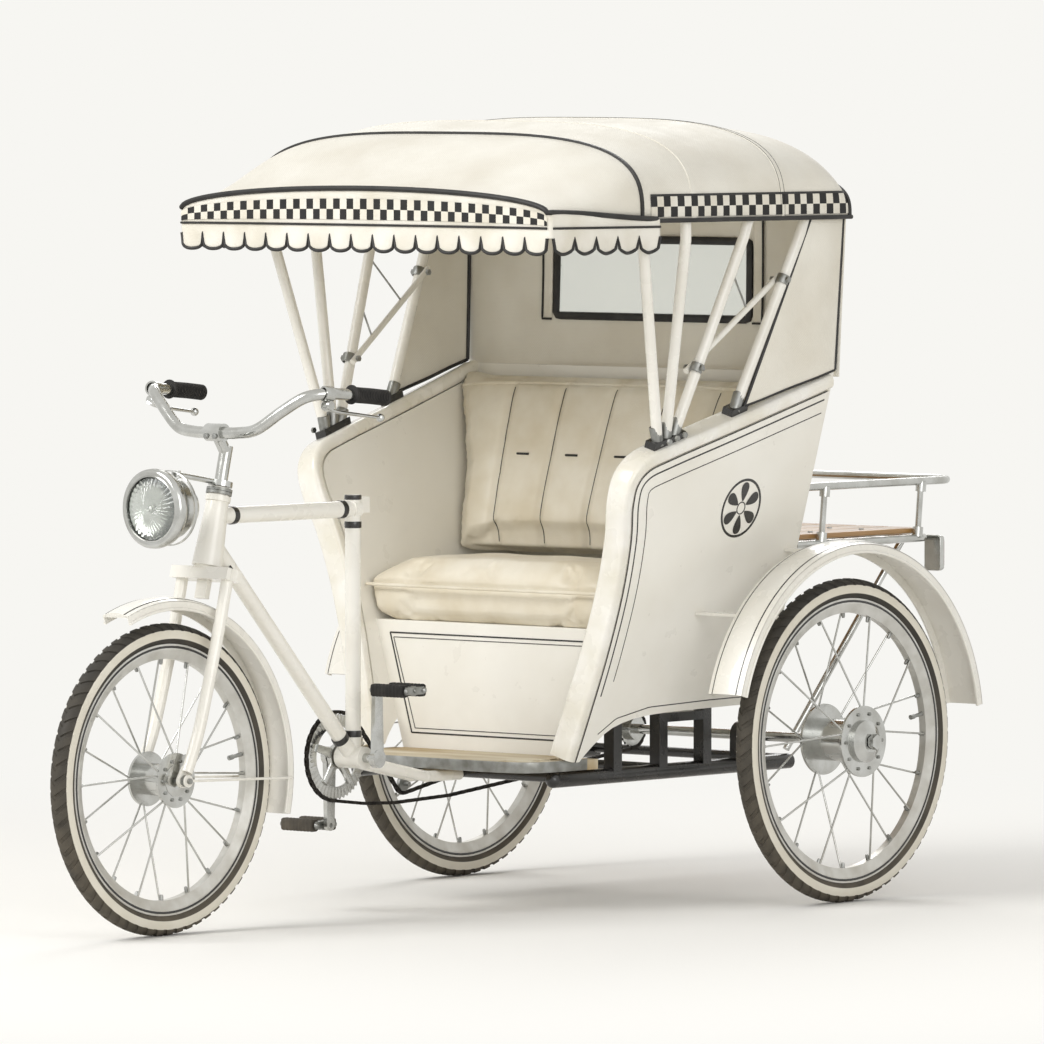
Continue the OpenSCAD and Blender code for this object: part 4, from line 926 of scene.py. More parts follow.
lines = []
for inset, width in zip(bodyLook["lineInset"], (4.5, 3.0)):
    inner = edge[14:] + inward(edge)[14:] * inset
    inner = inner[(inner[:, 0] < -26) & (inner[:, 1] > 420 + inset)]
    lines.append(faceStripe(evenly(inner, 130), width))
under = evenly(np.array([(-30, 446), (-200, 444), (-400, 438), (-505, 418), (-556, 386)], float), 60)
lines.append(faceStripe(under, 3.0))
joinLine = edge + inward(edge) * (bodyLook["coaming"] - 0.5)
lines.append(faceStripe(joinLine[(joinLine[:, 0] < -24)], 2.6, 1.0))
# emblem: a disc with a rim and six petals, a plain wheel figure
turns = np.linspace(0, 2 * math.pi, 73)
for radius, width in ((bodyLook["emblem"], 6.0), (13, 3.0)):
    loop = np.stack([bodyLook["emblemAt"][0] + radius * np.cos(turns),
                     bodyLook["emblemAt"][1] + radius * np.sin(turns)], 1)
    lines.append(faceStripe(loop, width, 0.9))
petalTurn = np.linspace(0, 2 * math.pi, 25)[:-1]
for k in range(6):
    a = math.radians(30 + 60 * k)
    along, wide = 36 + 21 * np.cos(petalTurn), 11 * np.sin(petalTurn) * (1 + 0.55 * np.cos(petalTurn))
    y = bodyLook["emblemAt"][0] + along * math.cos(a) - wide * math.sin(a)
    z = bodyLook["emblemAt"][1] + along * math.sin(a) + wide * math.cos(a)
    rim = at(onWall(y, z, 0.8))
    petal = {"points": np.vstack([rim, rim.mean(0, keepdims=True)]), "uv": None,
             "faces": [np.stack([np.arange(24), (np.arange(24) + 1) % 24, np.full(24, 24)], 1)[:, ::-1]]}
    lines.append(petal)
makePiece("CoachLines", bothSides(lines), "blackEnamel", "chassis", sharp=60)

# seat box front: two rectangles of black lining on the board
seatLook = {"boxY": -540, "boxTop": 612, "cushionFront": -566, "cushionRear": -225, "cushionLow": 612.4,
            "cushionTop": 742, "welt": 5.0}


def innerX(z):
    return wallX(z) - 54 / math.cos(slope)


def boxLine(x0, z0, x1, z1, width):
    path = np.array([(x0, seatLook["boxY"] - 0.4, z0), (x1, seatLook["boxY"] - 0.4, z1)], float)
    return sweep(at(evenly(path, 12)), roundedBox(width / 1000, 0.0016, 0.0005, 2), (0, -1, 0))


low, high = 366, 584
boxLines = []
for inset, width in ((34, 3.5), (44, 1.8)):
    left, right = -innerX(low) + inset, innerX(low) - inset
    topL, topR = -innerX(high) + inset, innerX(high) - inset
    boxLines += [boxLine(left, low + inset - 34, right, low + inset - 34, width),
                 boxLine(right, low + inset - 34, topR, high - inset + 34, width),
                 boxLine(topR, high - inset + 34, topL, high - inset + 34, width),
                 boxLine(topL, high - inset + 34, left, low + inset - 34, width)]
makePiece("SeatBoxLining", boxLines, "blackEnamel", "chassis")

# floor planks over the board, with a steel nosing round its front edge
plankCount, plankGap = 7, 3.0
front, rearY = -748, seatLook["boxY"]
pitch = (rearY - front) / plankCount
planks = []
for k in range(plankCount):
    y0, y1 = front + k * pitch + plankGap / 2, front + (k + 1) * pitch - plankGap / 2
    half = min(292, 200 + (y0 - front) * 2.2) if y0 < -700 else 246
    planks.append(sweep(at(evenly(np.array([(-half, (y0 + y1) / 2, 328.5),
                                            (half, (y0 + y1) / 2, 328.5)], float), 6)),
                        roundedBox((y1 - y0) / 1000, 0.009, 0.0025, 3), (0, 0, 1)))
makePiece("FloorPlanks", planks, "footPlanks", "chassis")
nose = curveThrough([(-294, -560, 320), (-294, -640, 320), (-276, -718, 320), (-200, -749, 320),
                     (0, -750, 320), (200, -749, 320), (276, -718, 320), (294, -640, 320),
                     (294, -560, 320)], 8)
makePiece("FloorNosing", [sweep(at(nose), roundedBox(0.004, 0.024, 0.0018, 2), (0, 0, 1))], "zincSteel",
          "chassis")
print("body done")


softLook = {"channels": 6, "channelDepth": 9, "channelCrown": 8, "swell": 0.024, "pressure": 4.0,
            "voxel": 0.006}


def closedForm(grid):
    # a grid closed round v, with its first and last rows joined to a point each
    n, m = grid.shape[:2]
    shape = gridSurface(grid, closedV=True)
    ends = np.stack([grid[0].mean(0), grid[-1].mean(0)])
    shape["points"] = np.vstack([shape["points"], ends])
    j = np.arange(m)
    shape["faces"] += [np.stack([(j + 1) % m, j, np.full(m, n * m)], 1),
                       np.stack([j + (n - 1) * m, (j + 1) % m + (n - 1) * m, np.full(m, n * m + 1)], 1)]
    return shape


def inflate(piece, cap):
    # Cloth under pressure on a voxel copy of the piece, its movement capped, then the result is its
    # mesh.
    scene = bpy.context.scene
    remesh = piece.modifiers.new("Voxel", "REMESH")
    remesh.mode, remesh.voxel_size = "VOXEL", softLook["voxel"]
    bakeModifiers(piece)
    start = meshPoints(piece.data)
    cloth = piece.modifiers.new("Cloth", "CLOTH")
    cloth.settings.use_pressure, cloth.settings.uniform_pressure_force = True, softLook["pressure"]
    cloth.settings.effector_weights.gravity = 0
    cloth.settings.quality, cloth.settings.mass, cloth.settings.tension_stiffness = 6, 0.3, 15
    cloth.settings.compression_stiffness, cloth.settings.bending_stiffness = 15, 0.6
    cloth.point_cache.frame_start, cloth.point_cache.frame_end = 1, 20
    for k in range(1, 21):
        scene.frame_set(k)
    bakeModifiers(piece)
    scene.frame_set(1)
    moved = (meshPoints(piece.data) - start) * [0.25, 1, 1]   # the walls keep its width
    far = np.linalg.norm(moved, axis=1, keepdims=True)
    moved *= np.minimum(1, cap / np.maximum(far, 1e-9))
    setPoints(piece.data, start + moved)


def bakeModifiers(piece):
    depsgraph = bpy.context.evaluated_depsgraph_get()
    mesh = bpy.data.meshes.new_from_object(piece.evaluated_get(depsgraph))
    old, piece.data = piece.data, mesh
    piece.modifiers.clear()
    bpy.data.meshes.remove(old)


def meshPoints(mesh):
    flat = np.empty(len(mesh.vertices) * 3)
    mesh.vertices.foreach_get("co", flat)
    return flat.reshape(-1, 3)


def setPoints(mesh, points):
    mesh.vertices.foreach_set("co", points.ravel())
    mesh.update()


def finishPad(piece, points):
    # the pad's last shape, in millimetres, smooth-shaded and subdivided once
    setPoints(piece.data, at(points))
    piece.data.polygons.foreach_set("use_smooth", np.ones(len(piece.data.polygons), bool))
    finer = piece.modifiers.new("Smooth", "SUBSURF")
    finer.levels = finer.render_levels = 1


# cushion: a rounded box between the walls, crowned on top, its front edge rolled over the box
nAcross, nRound = 61, 72
s = np.linspace(-1, 1, nAcross)
ringTurn = np.linspace(0, 2 * math.pi, nRound, endpoint=False)
lowZ, highZ = seatLook["cushionLow"], seatLook["cushionTop"] - 22
midY, halfY = (seatLook["cushionFront"] + seatLook["cushionRear"]) / 2, (seatLook["cushionRear"]
                                                                         - seatLook["cushionFront"]) / 2 - 4
midZ, halfZ = (lowZ + highZ) / 2, (highZ - lowZ) / 2
power = 2 / 5.5
cy, cz = np.cos(ringTurn), np.sin(ringTurn)
shrink = (1 - 0.10 * np.abs(s) ** 9)[:, None]
ringY = midY + halfY * shrink * (np.sign(cy) * np.abs(cy) ** power)[None]
ringZ = midZ + halfZ * (1 - 0.16 * np.abs(s) ** 9)[:, None] * (np.sign(cz) * np.abs(cz) ** power)[None]
crownUp = 22 * (1 - np.abs(s[:, None]) ** 2.6) * (ringZ > midZ)
crownUp = crownUp * (1 - np.abs((ringY - midY) / halfY) ** 2.6).clip(0, 1)
ringZ = np.maximum(ringZ + crownUp, lowZ)
halfX = innerX(ringZ) - 8
cushionGrid = np.stack([s[:, None] * halfX, ringY, ringZ], 2)
cushion = makePiece("SeatCushion", [closedForm(at(cushionGrid))], "leathercloth", "chassis",
                    ["seat_cushion"], sharp=180, merge=1e-6)


def fitCushion(points):
    # keep the swollen pad between the walls, on its board and in front of the seat back
    p = inPlace(points)
    side = innerX(p[:, 2]) - 4
    p[:, 0] = np.clip(p[:, 0], -side, side)
    p[:, 2] = np.clip(p[:, 2], lowZ, 752)
    p[:, 1] = np.clip(p[:, 1], seatLook["cushionFront"] - 12, seatLook["cushionRear"] + 2)
    return at(p)


inflate(cushion, softLook["swell"] * 0.75)
p = fitCushion(meshPoints(cushion.data))
# the welt seam cinches the pad all round, 26 mm under its upper edge
local = inPlace(p)
seamZ = 690
pinch = 5.0 * np.exp(-((local[:, 2] - seamZ) / 9) ** 2)
outer = np.abs(local[:, 1] - midY) > 0.86 * halfY
local[:, 1] -= np.sign(local[:, 1] - midY) * pinch * outer
wrinkle = 1.6 * np.sin(local[:, 0] / 31 + 1.2 * np.sin(local[:, 1] / 55)) * np.sin(local[:, 1] / 64 + 0.8)
wrinkle *= local[:, 2] > 700
local[:, 2] += wrinkle
finishPad(cushion, local)
frontSeamX = np.linspace(-1, 1, 60)
seamHalf = innerX(seamZ) - 10
frontWelt = np.stack([frontSeamX * seamHalf, seatLook["cushionFront"] - 1.5
                      + 12 * np.abs(frontSeamX) ** 10, np.full(60, float(seamZ))], 1)
makePiece("CushionWelt", [tube(frontWelt, seatLook["welt"] / 1.3, up=(0, 0, 1))], "leathercloth",
          "chassis")

# seat back: thickness runs from the back panel to a front line, crowned between sewn channels
backLine = curveThrough([(-222, 752), (-200, 830), (-152, 960), (-106, 1086), (-84, 1130), (-60, 1150)], 12)
nBack, mBack = 121, 64
t = np.linspace(0, 1, mBack)
frontFace = evenly(backLine, mBack)
u = np.linspace(-1, 1, nBack)


def backFront(u, depthIn=0.0):
    swell = 10 * (1 - np.abs(u[:, None]) ** 6) * np.sin(math.pi * np.clip(t * 0.96 + 0.02, 0,
                                                                          1))[None] ** 0.6
    y = frontFace[None, :, 0] - swell + depthIn
    z = frontFace[None, :, 1] + 0 * u[:, None]
    x = u[:, None] * np.minimum(innerX(z) - 7, innerX(1060) + 40)
    return np.stack([x, y, z], 2)


frontGrid = backFront(u)
rearGrid = frontGrid[:, ::-1].copy()
rearGrid[..., 1] = -26
rearGrid[..., 0] *= 0.995
backGridSolid = np.concatenate([frontGrid, rearGrid], 1)
seatBack = makePiece("SeatBack", [closedForm(at(backGridSolid))], "leathercloth", "chassis",
                     ["seat_back"], sharp=180, merge=1e-6)
inflate(seatBack, 0.016)
local = inPlace(meshPoints(seatBack.data))
side = innerX(local[:, 2]) - 4
local[:, 0] = np.clip(local[:, 0], -side, side)
local[:, 1] = np.clip(local[:, 1], -262, -21.5)
local[:, 2] = np.clip(local[:, 2], 750, 1164)


def channelHalf(z):
    # half the width that the channels share: they fan out half as fast as the walls
    return (innerX(z) + innerX(960)) / 2 - 7


phase = softLook["channels"] / 2 * (local[:, 0] / channelHalf(local[:, 2]) + 1)
near = np.abs(phase - np.round(phase)) * 2 * channelHalf(local[:, 2]) / softLook["channels"]
inner = (np.round(phase) > 0.5) & (np.round(phase) < softLook["channels"] - 0.5)
facing = smoothStep((-40 - local[:, 1]) / 30)
local[:, 1] += facing * inner * softLook["channelDepth"] * np.exp(-(near / 9) ** 2)
local[:, 1] -= facing * softLook["channelCrown"] * (np.abs(np.sin(math.pi * phase)) ** 0.6 - 0.4)
finishPad(seatBack, local)

# piping over the seat back's top edge, following the padded form by casting rays at it
def onSurface(piece, origins, direction, lift):
    depsgraph = bpy.context.evaluated_depsgraph_get()
    tree = mathutils.bvhtree.BVHTree.FromObject(piece, depsgraph)
    hits = [tree.ray_cast(mathutils.Vector(o), mathutils.Vector(direction)) for o in origins.tolist()]
    return np.array([list(h[0]) if h[0] else o for h,
                     o in zip(hits, origins.tolist())]) - np.asarray(direction) * lift


xs = np.linspace(-innerX(1120) + 16, innerX(1120) - 16, 90)
topLine = onSurface(seatBack,
                    at(np.stack([xs, np.full(90, -400.0), 1122 - 10 * np.abs(xs / xs[-1]) ** 8], 1)),
                    (0, 1, 0), 0.001)
makePiece("SeatBackPiping", [sweep(topLine, circle(0.0042, 10), (0, 0, 1))], "leathercloth", "chassis")
stitchShapes = []
for k in range(1, softLook["channels"]):
    zz = np.linspace(772, 1112, 50)
    xk = (2 * k / softLook["channels"] - 1) * channelHalf(zz)
    stitchShapes.append(sweep(onSurface(seatBack, at(np.stack([xk, np.full(50, -420.0), zz], 1)),
                                        (0, 1, 0), 0.0002), circle(0.0011, 6), (1, 0, 0)))
makePiece("SeatStitching", stitchShapes, "blackPiping", "chassis")
# stitched bar tacks where the channels are tied through
tackZ = 968.0
tacks = []
for k in (1.5, 2.5, 3.5, 4.5):
    xk = (2 * k / softLook["channels"] - 1) * channelHalf(tackZ)
    bar = np.stack([np.linspace(xk - 17, xk + 17, 12), np.full(12, -420.0), np.full(12, tackZ)], 1)
    tacks.append(sweep(onSurface(seatBack, at(bar), (0, 1, 0), 0.001), circle(0.0026, 8), (0, 0, 1)))
makePiece("SeatTacks", tacks, "blackPiping", "chassis")
print("seat done")


steerLook = {"bar": 12.5, "grip": 17, "ribs": 22, "ball": 9.2}
halfBar = [(60, -1426, 1057), (112, -1422, 1066), (168, -1406, 1104), (214, -1384, 1134),
           (246, -1350, 1142), (257, -1310, 1140), (262, -1250, 1136), (264, -1188, 1130)]
barPoints = np.array([(-x, y, z) for x, y, z in halfBar[::-1]] + [(0, -1426, 1057)] + halfBar, float)
barLine = curveThrough(barPoints, 12)
makePiece("Handlebar", [tube(barLine, steerLook["bar"], up=(0.02, 0.2, 1), sides=20)], "chromePlate",
          "steering", ["handlebar"], sharp=60)
gripPath = evenly(np.array([(260.6, -1290, 1139.2), (262.6, -1232, 1134.6), (264, -1188, 1130),
                            (264.4, -1180.5, 1129)], float), 200)
along = np.linspace(0, 1, 200)
ribbing = 1 - 0.09 * (np.sin(math.pi * steerLook["ribs"]
                             * along) ** 2 > 0.72) * (along > 0.1) * (along < 0.9)
flare = 1 + 0.22 * smoothStep((0.05 - along) / 0.03) - 0.25 * smoothStep((along - 0.975) / 0.025)
grip = sweep(at(gripPath), circle(steerLook["grip"] / 1000, 24), (0, 0, 1), scale=ribbing * flare)
makePiece("HandleGrips", bothSides([grip]), "mouldedRubber", "steering", ["grips"], sharp=40)
leverPath = curveThrough([(250, -1362, 1114), (258, -1330, 1104), (264, -1270, 1096),
                          (266, -1205, 1088)], 14)
lever = sweep(at(leverPath), circle(0.0055, 12, 0.7), (0, 0, 1),
              scale=np.linspace(1.25, 0.9, len(leverPath)))
ballRadius = steerLook["ball"] / 1000
ballArc = [(-ballRadius * math.cos(a), ballRadius * math.sin(a))
           for a in np.linspace(0.3, math.pi - 0.3, 9)]
ball = turned([(-ballRadius, 0)] + ballArc + [(ballRadius, 0)], at((266, -1203, 1088)), (0, 1, 0), 20)
perch = turned([(-0.011, 0), (-0.011, 0.010), (-0.008, 0.011), (0.008, 0.011), (0.011, 0.010),
                (0.011, 0)], at((250, -1352, 1117)), (1, 0, 0.1), 20)
perchArm = sweep(at(evenly(np.array([(250, -1352, 1117), (247, -1350, 1140)], float), 4)),
                 roundedBox(0.016, 0.012, 0.004, 3), (0, 1, 0))
collar = turned([(-0.011, 0.0128), (-0.011, 0.0165), (0.011, 0.0165), (0.011, 0.0128)],
                at((248, -1350, 1142)), (0.25, 0.95, -0.1), 24)
makePiece("BrakeLevers", bothSides([lever, ball, perch, perchArm, collar]), "chromePlate", "steering",
          ["brake_levers"], sharp=40)

# headlamp: rolled bezel, silvered bowl, bulb and a fluted lens; a profile of (ahead of the rim, radius)
# turned about Y
lampAt = at((0, -1612, 902))
bezel = turned([(0.002, 0.0800), (-0.006, 0.0815), (0.006, 0.0845), (0.016, 0.0835), (0.021, 0.078),
                (0.020, 0.0705), (0.012, 0.0685), (0.004, 0.069)], lampAt, (0, -1, 0), 72)
bead = turned([(-0.034, 0.0775), (-0.036, 0.0800), (-0.040, 0.0800), (-0.042, 0.0770)], lampAt,
              (0, -1, 0), 72)
makePiece("HeadlampBezel", [bezel, bead], "chromePlate", "steering", sharp=50)
bowlT = np.linspace(0, 1, 14)
bowl = turned(np.stack([0.0042 + 0.006 * bowlT ** 2, 0.067 * bowlT], 1), lampAt, (0, -1, 0), 48)
bulbArc = [(0.010 + 0.008 * math.sin(a), 0.008 * math.cos(a)) for a in np.linspace(-0.9, 1.4, 8)]
bulb = turned([(0.0045, 0.0)] + bulbArc + [(0.0182, 0)], lampAt, (0, -1, 0), 20)
makePiece("HeadlampReflector", [bowl, bulb], "silvered", "steering", sharp=60)
flutes, rings = np.linspace(0, 2 * math.pi, 144, endpoint=False), np.linspace(0.02, 1, 16)
# the dome stands out by 29 mm less the square of the share of its radius, with 36 flutes that start
# near its middle
domeOut = 0.029 - 0.016 * rings[:, None] ** 2 + 0 * flutes[None]
domeOut += 0.0009 * np.sin(36 * flutes)[None] * smoothStep((rings[:, None] - 0.15) * 5)
domeRadius = 0.0668 * rings[:, None]
dome = np.stack([domeRadius * np.cos(flutes)[None], -domeOut, domeRadius * np.sin(flutes)[None]],
                2) + lampAt
lens = closedForm(dome)
lens["faces"] = lens["faces"][:2]   # open at the bezel
makePiece("HeadlampLens", [lens], "pressedGlass", "steering", ["headlamp_lens"], sharp=180)
print("steering done")


steerAxis = np.array([0, math.sin(math.radians(14)), math.cos(math.radians(14))])


def onAxis(s):
    return np.array([0, -1435, 860.0]) + steerAxis * s


topStart, topEnd = onAxis(20), np.array([0, -990, 880.0])
topDir = unit(topEnd - np.array([0, -1435 + 20 * 0.242, 879.4]))
downStart, downEnd = onAxis(-50), np.array([0, -990, 345.0])
downDir = unit(downEnd - downStart)
# painted bands at the lugs: centre, axis, tube radius and width
bands = [(topStart + topDir * 52, topDir, 18, 14), (topEnd - topDir * 40, topDir, 18, 14),
         (downStart + downDir * 66, downDir, 17, 14), (downEnd - downDir * 60, downDir, 17, 14),
         ((0, -990, 905), (0, 0, 1), 17, 10), ((0, -990, 846), (0, 0, 1), 17, 14),
         ((0, -990, 396), (0, 0, 1), 17, 14)]
lugs = [ringOn(*band) for band in bands]
makePiece("FrameLining", lugs, "blackEnamel", "chassis")
headRings = [turned([(-0.003, 0.0235), (-0.003, 0.0278), (0.003, 0.0278), (0.003, 0.0235)],
                    at(onAxis(s)), steerAxis, 40) for s in (70, 77)]
makePiece("HeadsetRings", headRings, "zincSteel", "chassis")
clampBolts = repeated(boltHead(0.0065, 0.006), at([(12, -1443, 1050), (-12, -1443, 1050)]),
                      [(0, -1, -0.2)] * 2)
makePiece("StemBolts", [clampBolts], "zincSteel", "steering")


# mudguards: a crowned skin over each guard, rolled beads and a painted line
guardLook = {"crown": 7.5, "bead": 3.2, "lineAt": 0.36}


def guardSkin(centre, radius, width, a0, a1):
    # Section (across, out): out = radius + 1 + crown (1 - (2x/w)^2), carried round the wheel from a0
    # to a1 degrees from straight up, positive to the rear; the edge beads are round and the lines lie
    # on the crown.
    turn = np.radians(np.linspace(a0, a1, 90))
    x = np.linspace(-width / 2, width / 2, 17)
    crownHeight = guardLook["crown"] * (1 - (2 * x / width) ** 2)
    hub = np.asarray(centre, float)

    def carried(section):
        section = np.asarray(section, float)
        r = section[:, 1][None]
        return np.stack([hub[0] + section[:, 0][None] + 0 * turn[:, None],
                         hub[1] + r * np.sin(turn)[:, None], hub[2] + r * np.cos(turn)[:, None]], 2)

    top = np.stack([x, radius + 0.6 + crownHeight], 1)
    section = np.vstack([top, [(width / 2, radius - 1.0), (-width / 2, radius - 1.0)]])
    skin = gridSurface(at(carried(section)), closedV=True, flip=True)
    n = len(section)
    skin["faces"] += [np.arange(n)[None, ::-1], (np.arange(n) + 89 * n)[None]]
    beads = []
    for s in (-1, 1):
        beadLine = carried([(s * (width / 2 + 0.5), radius - 17)])[:, 0]
        beads.append(tube(beadLine, guardLook["bead"], up=(1, 0, 0), sides=10))
    black = []
    for s in (-1, 1):
        xs = s * width * guardLook["lineAt"] + np.array([-1.6, -1.2, 1.2, 1.6])
        out = radius + 0.6 + guardLook["crown"] * (1 - (2 * xs / width) ** 2) + np.array([-0.3, 0.5,
                                                                                          0.5, -0.3])
        black.append(gridSurface(at(carried(np.stack([xs, out], 1))), flip=True))
    return [skin] + beads, black


# each guard: side, body, centre, radius, width, first and last degrees from straight up
guards = [("Left", "chassis", (555, 8, 355), 431, 92, -74, 82),
          ("Right", "chassis", (-555, 8, 355), 431, 92, -74, 82),
          ("Front", "steering", (0, -1600, 330), 378, 72, -22, 104)]
for sideName, body, centre, radius, width, a0, a1 in guards:
    skin, black = guardSkin(centre, radius, width, a0, a1)
    makePiece(sideName + "GuardSkin", skin, "ivoryEnamel", body, sharp=50)
    makePiece(sideName + "GuardLining", black, "blackEnamel", body, sharp=50)


rackLook = {"slats": 9, "gap": 8, "half": 406, "front": 20, "rear": 460, "top": 800, "thick": 12}
slatWidth = (2 * rackLook["half"] + rackLook["gap"]) / rackLook["slats"] - rackLook["gap"]
slats, screwAt = [], []
for k in range(rackLook["slats"]):
    x = -rackLook["half"] + slatWidth / 2 + k * (slatWidth + rackLook["gap"])
    path = evenly(np.array([(x, rackLook["front"], rackLook["top"] - 6),
                            (x, rackLook["rear"], rackLook["top"] - 6)], float), 8)
    slats.append(sweep(at(path), roundedBox(slatWidth / 1000, rackLook["thick"] / 1000, 0.003, 3),
                       (0, 0, 1)))
    screwAt += [(x, 120, rackLook["top"] - 1), (x, 300, rackLook["top"] - 1)]
cleats = [sweep(at(evenly(np.array([(-404, y, 791), (404, y, 791)], float), 6)),
                roundedBox(0.026, 0.005, 0.001, 2), (0, 0, 1)) for y in (120, 300, 440)]
makePiece("RackSlats", slats, "varnishedBoards", "chassis", ["rack_platform"], sharp=40)
makePiece("RackCleats",
          cleats + [repeated(boltHead(0.006, 0.0035, 12), at(screwAt), [(0, 0, 1)] * len(screwAt))],
          "zincSteel", "chassis")
collars = [turned([(-0.011, 0.0085), (-0.011, 0.0118), (0.011, 0.0118), (0.011, 0.0085)],
                  at((s * x, y, z)), (0, 0.1, 1), 20) for s in (-1, 1) for y in (90, 430) for x,
           z in ((430, 893), (421, 792))]
makePiece("RackCollars", collars, "chromePlate", "chassis")
lampBody, lampLens = [], []
for s in (-1, 1):
    x = s * 407
    lampBody.append(sweep(at([(x, 500, 742), (x, 511, 742)]), roundedBox(0.046, 0.080, 0.008, 4),
                          (0, 0, 1)))
    lampBody.append(sweep(at([(x, 511, 742), (x, 516, 742)]), roundedBox(0.044, 0.078, 0.008, 4),
                          (0, 0, 1)))
    lensPath = np.array([(x, 515, 742), (x, 519, 742), (x, 521.5, 742), (x, 522, 742)], float)
    lampLens.append(sweep(at(lensPath), roundedBox(0.038, 0.072, 0.008, 4), (0, 0, 1),
                          scale=[1, 1, 0.93, 0.84]))
makePiece("TailLampBodies", lampBody, "chromePlate", "chassis", ["tail_lamps"],
          bevel=0.0012)
makePiece("TailLampLenses", lampLens, "redLens", "chassis")
print("rack done")


# drive: chain, rings and pedals
driveLook = {"ring": (-990, 345), "idler": (-772, 274), "sprocket": (0, 355), "ringRadius": 92,
             "ringTeeth": 48, "sprocketRadius": 40, "sprocketTeeth": 20, "idlerRadius": 21.2,
             "chainX": -49, "linkPitch": 12.7,
             "sagPoints": [(-180, 290), (-400, 262), (-620, 240), (-800, 234), (-900, 238)]}
ringAt, idlerAt, sprocketAt = (np.array(driveLook[name], float) for name in ("ring", "idler", "sprocket"))


def arcPoints(cy, cz, r, a0, a1, count):
    a = np.radians(np.linspace(a0, a1, count))
    return np.stack([cy + r * np.cos(a), cz + r * np.sin(a)], 1)


def toothedRing(cy, cz, x, outer, inner, teeth, thick):
    # An annulus whose outer edge is r = outer + 3.4 times the positive part of cos(teeth * angle),
    # seen from both faces.
    a = np.linspace(0, 2 * math.pi, teeth * 6, endpoint=False)
    tip = outer + 3.4 * np.clip(np.cos(teeth * a), -0.35, 1)
    r = np.stack([np.full(len(a), float(inner)), tip - 4, tip, tip, tip - 4,
                  np.full(len(a), float(inner))], 1)
    xs = x + thick / 2 * np.array([-1, -1, -0.45, 0.45, 1, 1])
    grid = np.stack([np.broadcast_to(xs, r.shape), cy + r * np.cos(a)[:, None],
                     cz + r * np.sin(a)[:, None]], 2)
    return gridSurface(at(grid), closedU=True, closedV=True, flip=True)


ringShapes = [toothedRing(*ringAt, driveLook["chainX"], driveLook["ringRadius"] - 1, 66,
                          driveLook["ringTeeth"], 4.4)]
for k in range(5):
    a = math.radians(90 + 72 * k)
    spoke = np.array([(-45, *(ringAt + r * np.array([math.cos(a), math.sin(a)])))
                      for r in np.linspace(16, 70, 8)])
    ringShapes.append(sweep(at(spoke), roundedBox(0.018, 0.007, 0.002, 2), (1, 0, 0),
                            scale=np.linspace(1.3, 0.9, 8)))
fifths = np.radians(90 + 72 * np.arange(5))
boltAt = np.stack([np.full(5, -51.5), ringAt[0] + 64 * np.cos(fifths), ringAt[1] + 64 * np.sin(fifths)], 1)
ringBolts = repeated(boltHead(0.006, 0.004), at(boltAt), [(-1, 0, 0)] * 5)
boss = turned([(-0.006, 0.010), (-0.006, 0.027), (0.006, 0.027), (0.006, 0.010)], at((-45, *ringAt)),
              (1, 0, 0), 40)
makePiece("Chainring", ringShapes + [ringBolts, boss], "chromePlate", "crankset", ["chainring"],
          sharp=40)
makePiece("Sprocket",
          [toothedRing(*sprocketAt, driveLook["chainX"], driveLook["sprocketRadius"] - 1, 12,
                       driveLook["sprocketTeeth"], 4.4)], "oiledSteel", "driven_wheel",
          sharp=40)
# chain: the loop runs over the ring, under the idler, round the sprocket and back along the sagging
# lower run
ringPitch, sprocketPitch = driveLook["ringRadius"] + 4.0, driveLook["sprocketRadius"] + 4.0
idlerPitch = driveLook["idlerRadius"]


def heading(a, b):
    return math.degrees(math.atan2(b[1] - a[1], b[0] - a[0]))


overRing = heading(ringAt,
                   idlerAt) + math.degrees(math.acos((ringPitch + idlerPitch)
                                                     / np.linalg.norm(idlerAt - ringAt)))
underIdler = heading(idlerAt,
                     sprocketAt) - math.degrees(math.acos((idlerPitch + sprocketPitch)
                                                          / np.linalg.norm(sprocketAt - idlerAt)))
loop = np.vstack([arcPoints(*ringAt, ringPitch, 264, overRing, 60),
                  arcPoints(*idlerAt, idlerPitch, overRing - 180, underIdler, 12),
                  arcPoints(*sprocketAt, sprocketPitch, underIdler + 180, -84, 40),
                  driveLook["sagPoints"]])
loop = np.vstack([loop, loop[:1]])
length = np.linalg.norm(np.diff(loop, axis=0), axis=1).sum()
links = int(round(length / driveLook["linkPitch"] / 2)) * 2
pins = evenly(loop, links + 1)[:-1]
pins3 = np.stack([np.full(links, float(driveLook["chainX"])), pins[:, 0], pins[:, 1]], 1)
nextPin = np.roll(pins3, -1, 0)
forward = unit(nextPin - pins3)
# one plate: an outline of two round ends and a waist, in the frame of its link (x across, y up, z
# along)
turns = np.linspace(0, 2 * math.pi, 16, endpoint=False)
half = driveLook["linkPitch"] / 2000
outline = np.stack([0.0036 * np.sin(turns) * (1 - 0.25 * np.cos(turns) ** 8),
                    half * np.sign(np.cos(turns)) * (np.abs(np.cos(turns)) > 0.3)
                    + 0.0036 * np.cos(turns)], 1)


def plate(x0, x1):
    n = len(outline)
    points = np.vstack([np.column_stack([np.full(n, x), outline]) for x in (x0, x1)])
    j = np.arange(n)
    return {"points": points, "uv": None,
            "faces": [np.stack([j, (j + 1) % n, (j + 1) % n + n, j + n], 1)[:, ::-1], j[None],
                      (j + n)[None, ::-1]]}


def alongLinks(shape, which):
    return repeated(shape, at((pins3[which] + nextPin[which]) / 2), forward[which], across=(1.0, 0, 0))


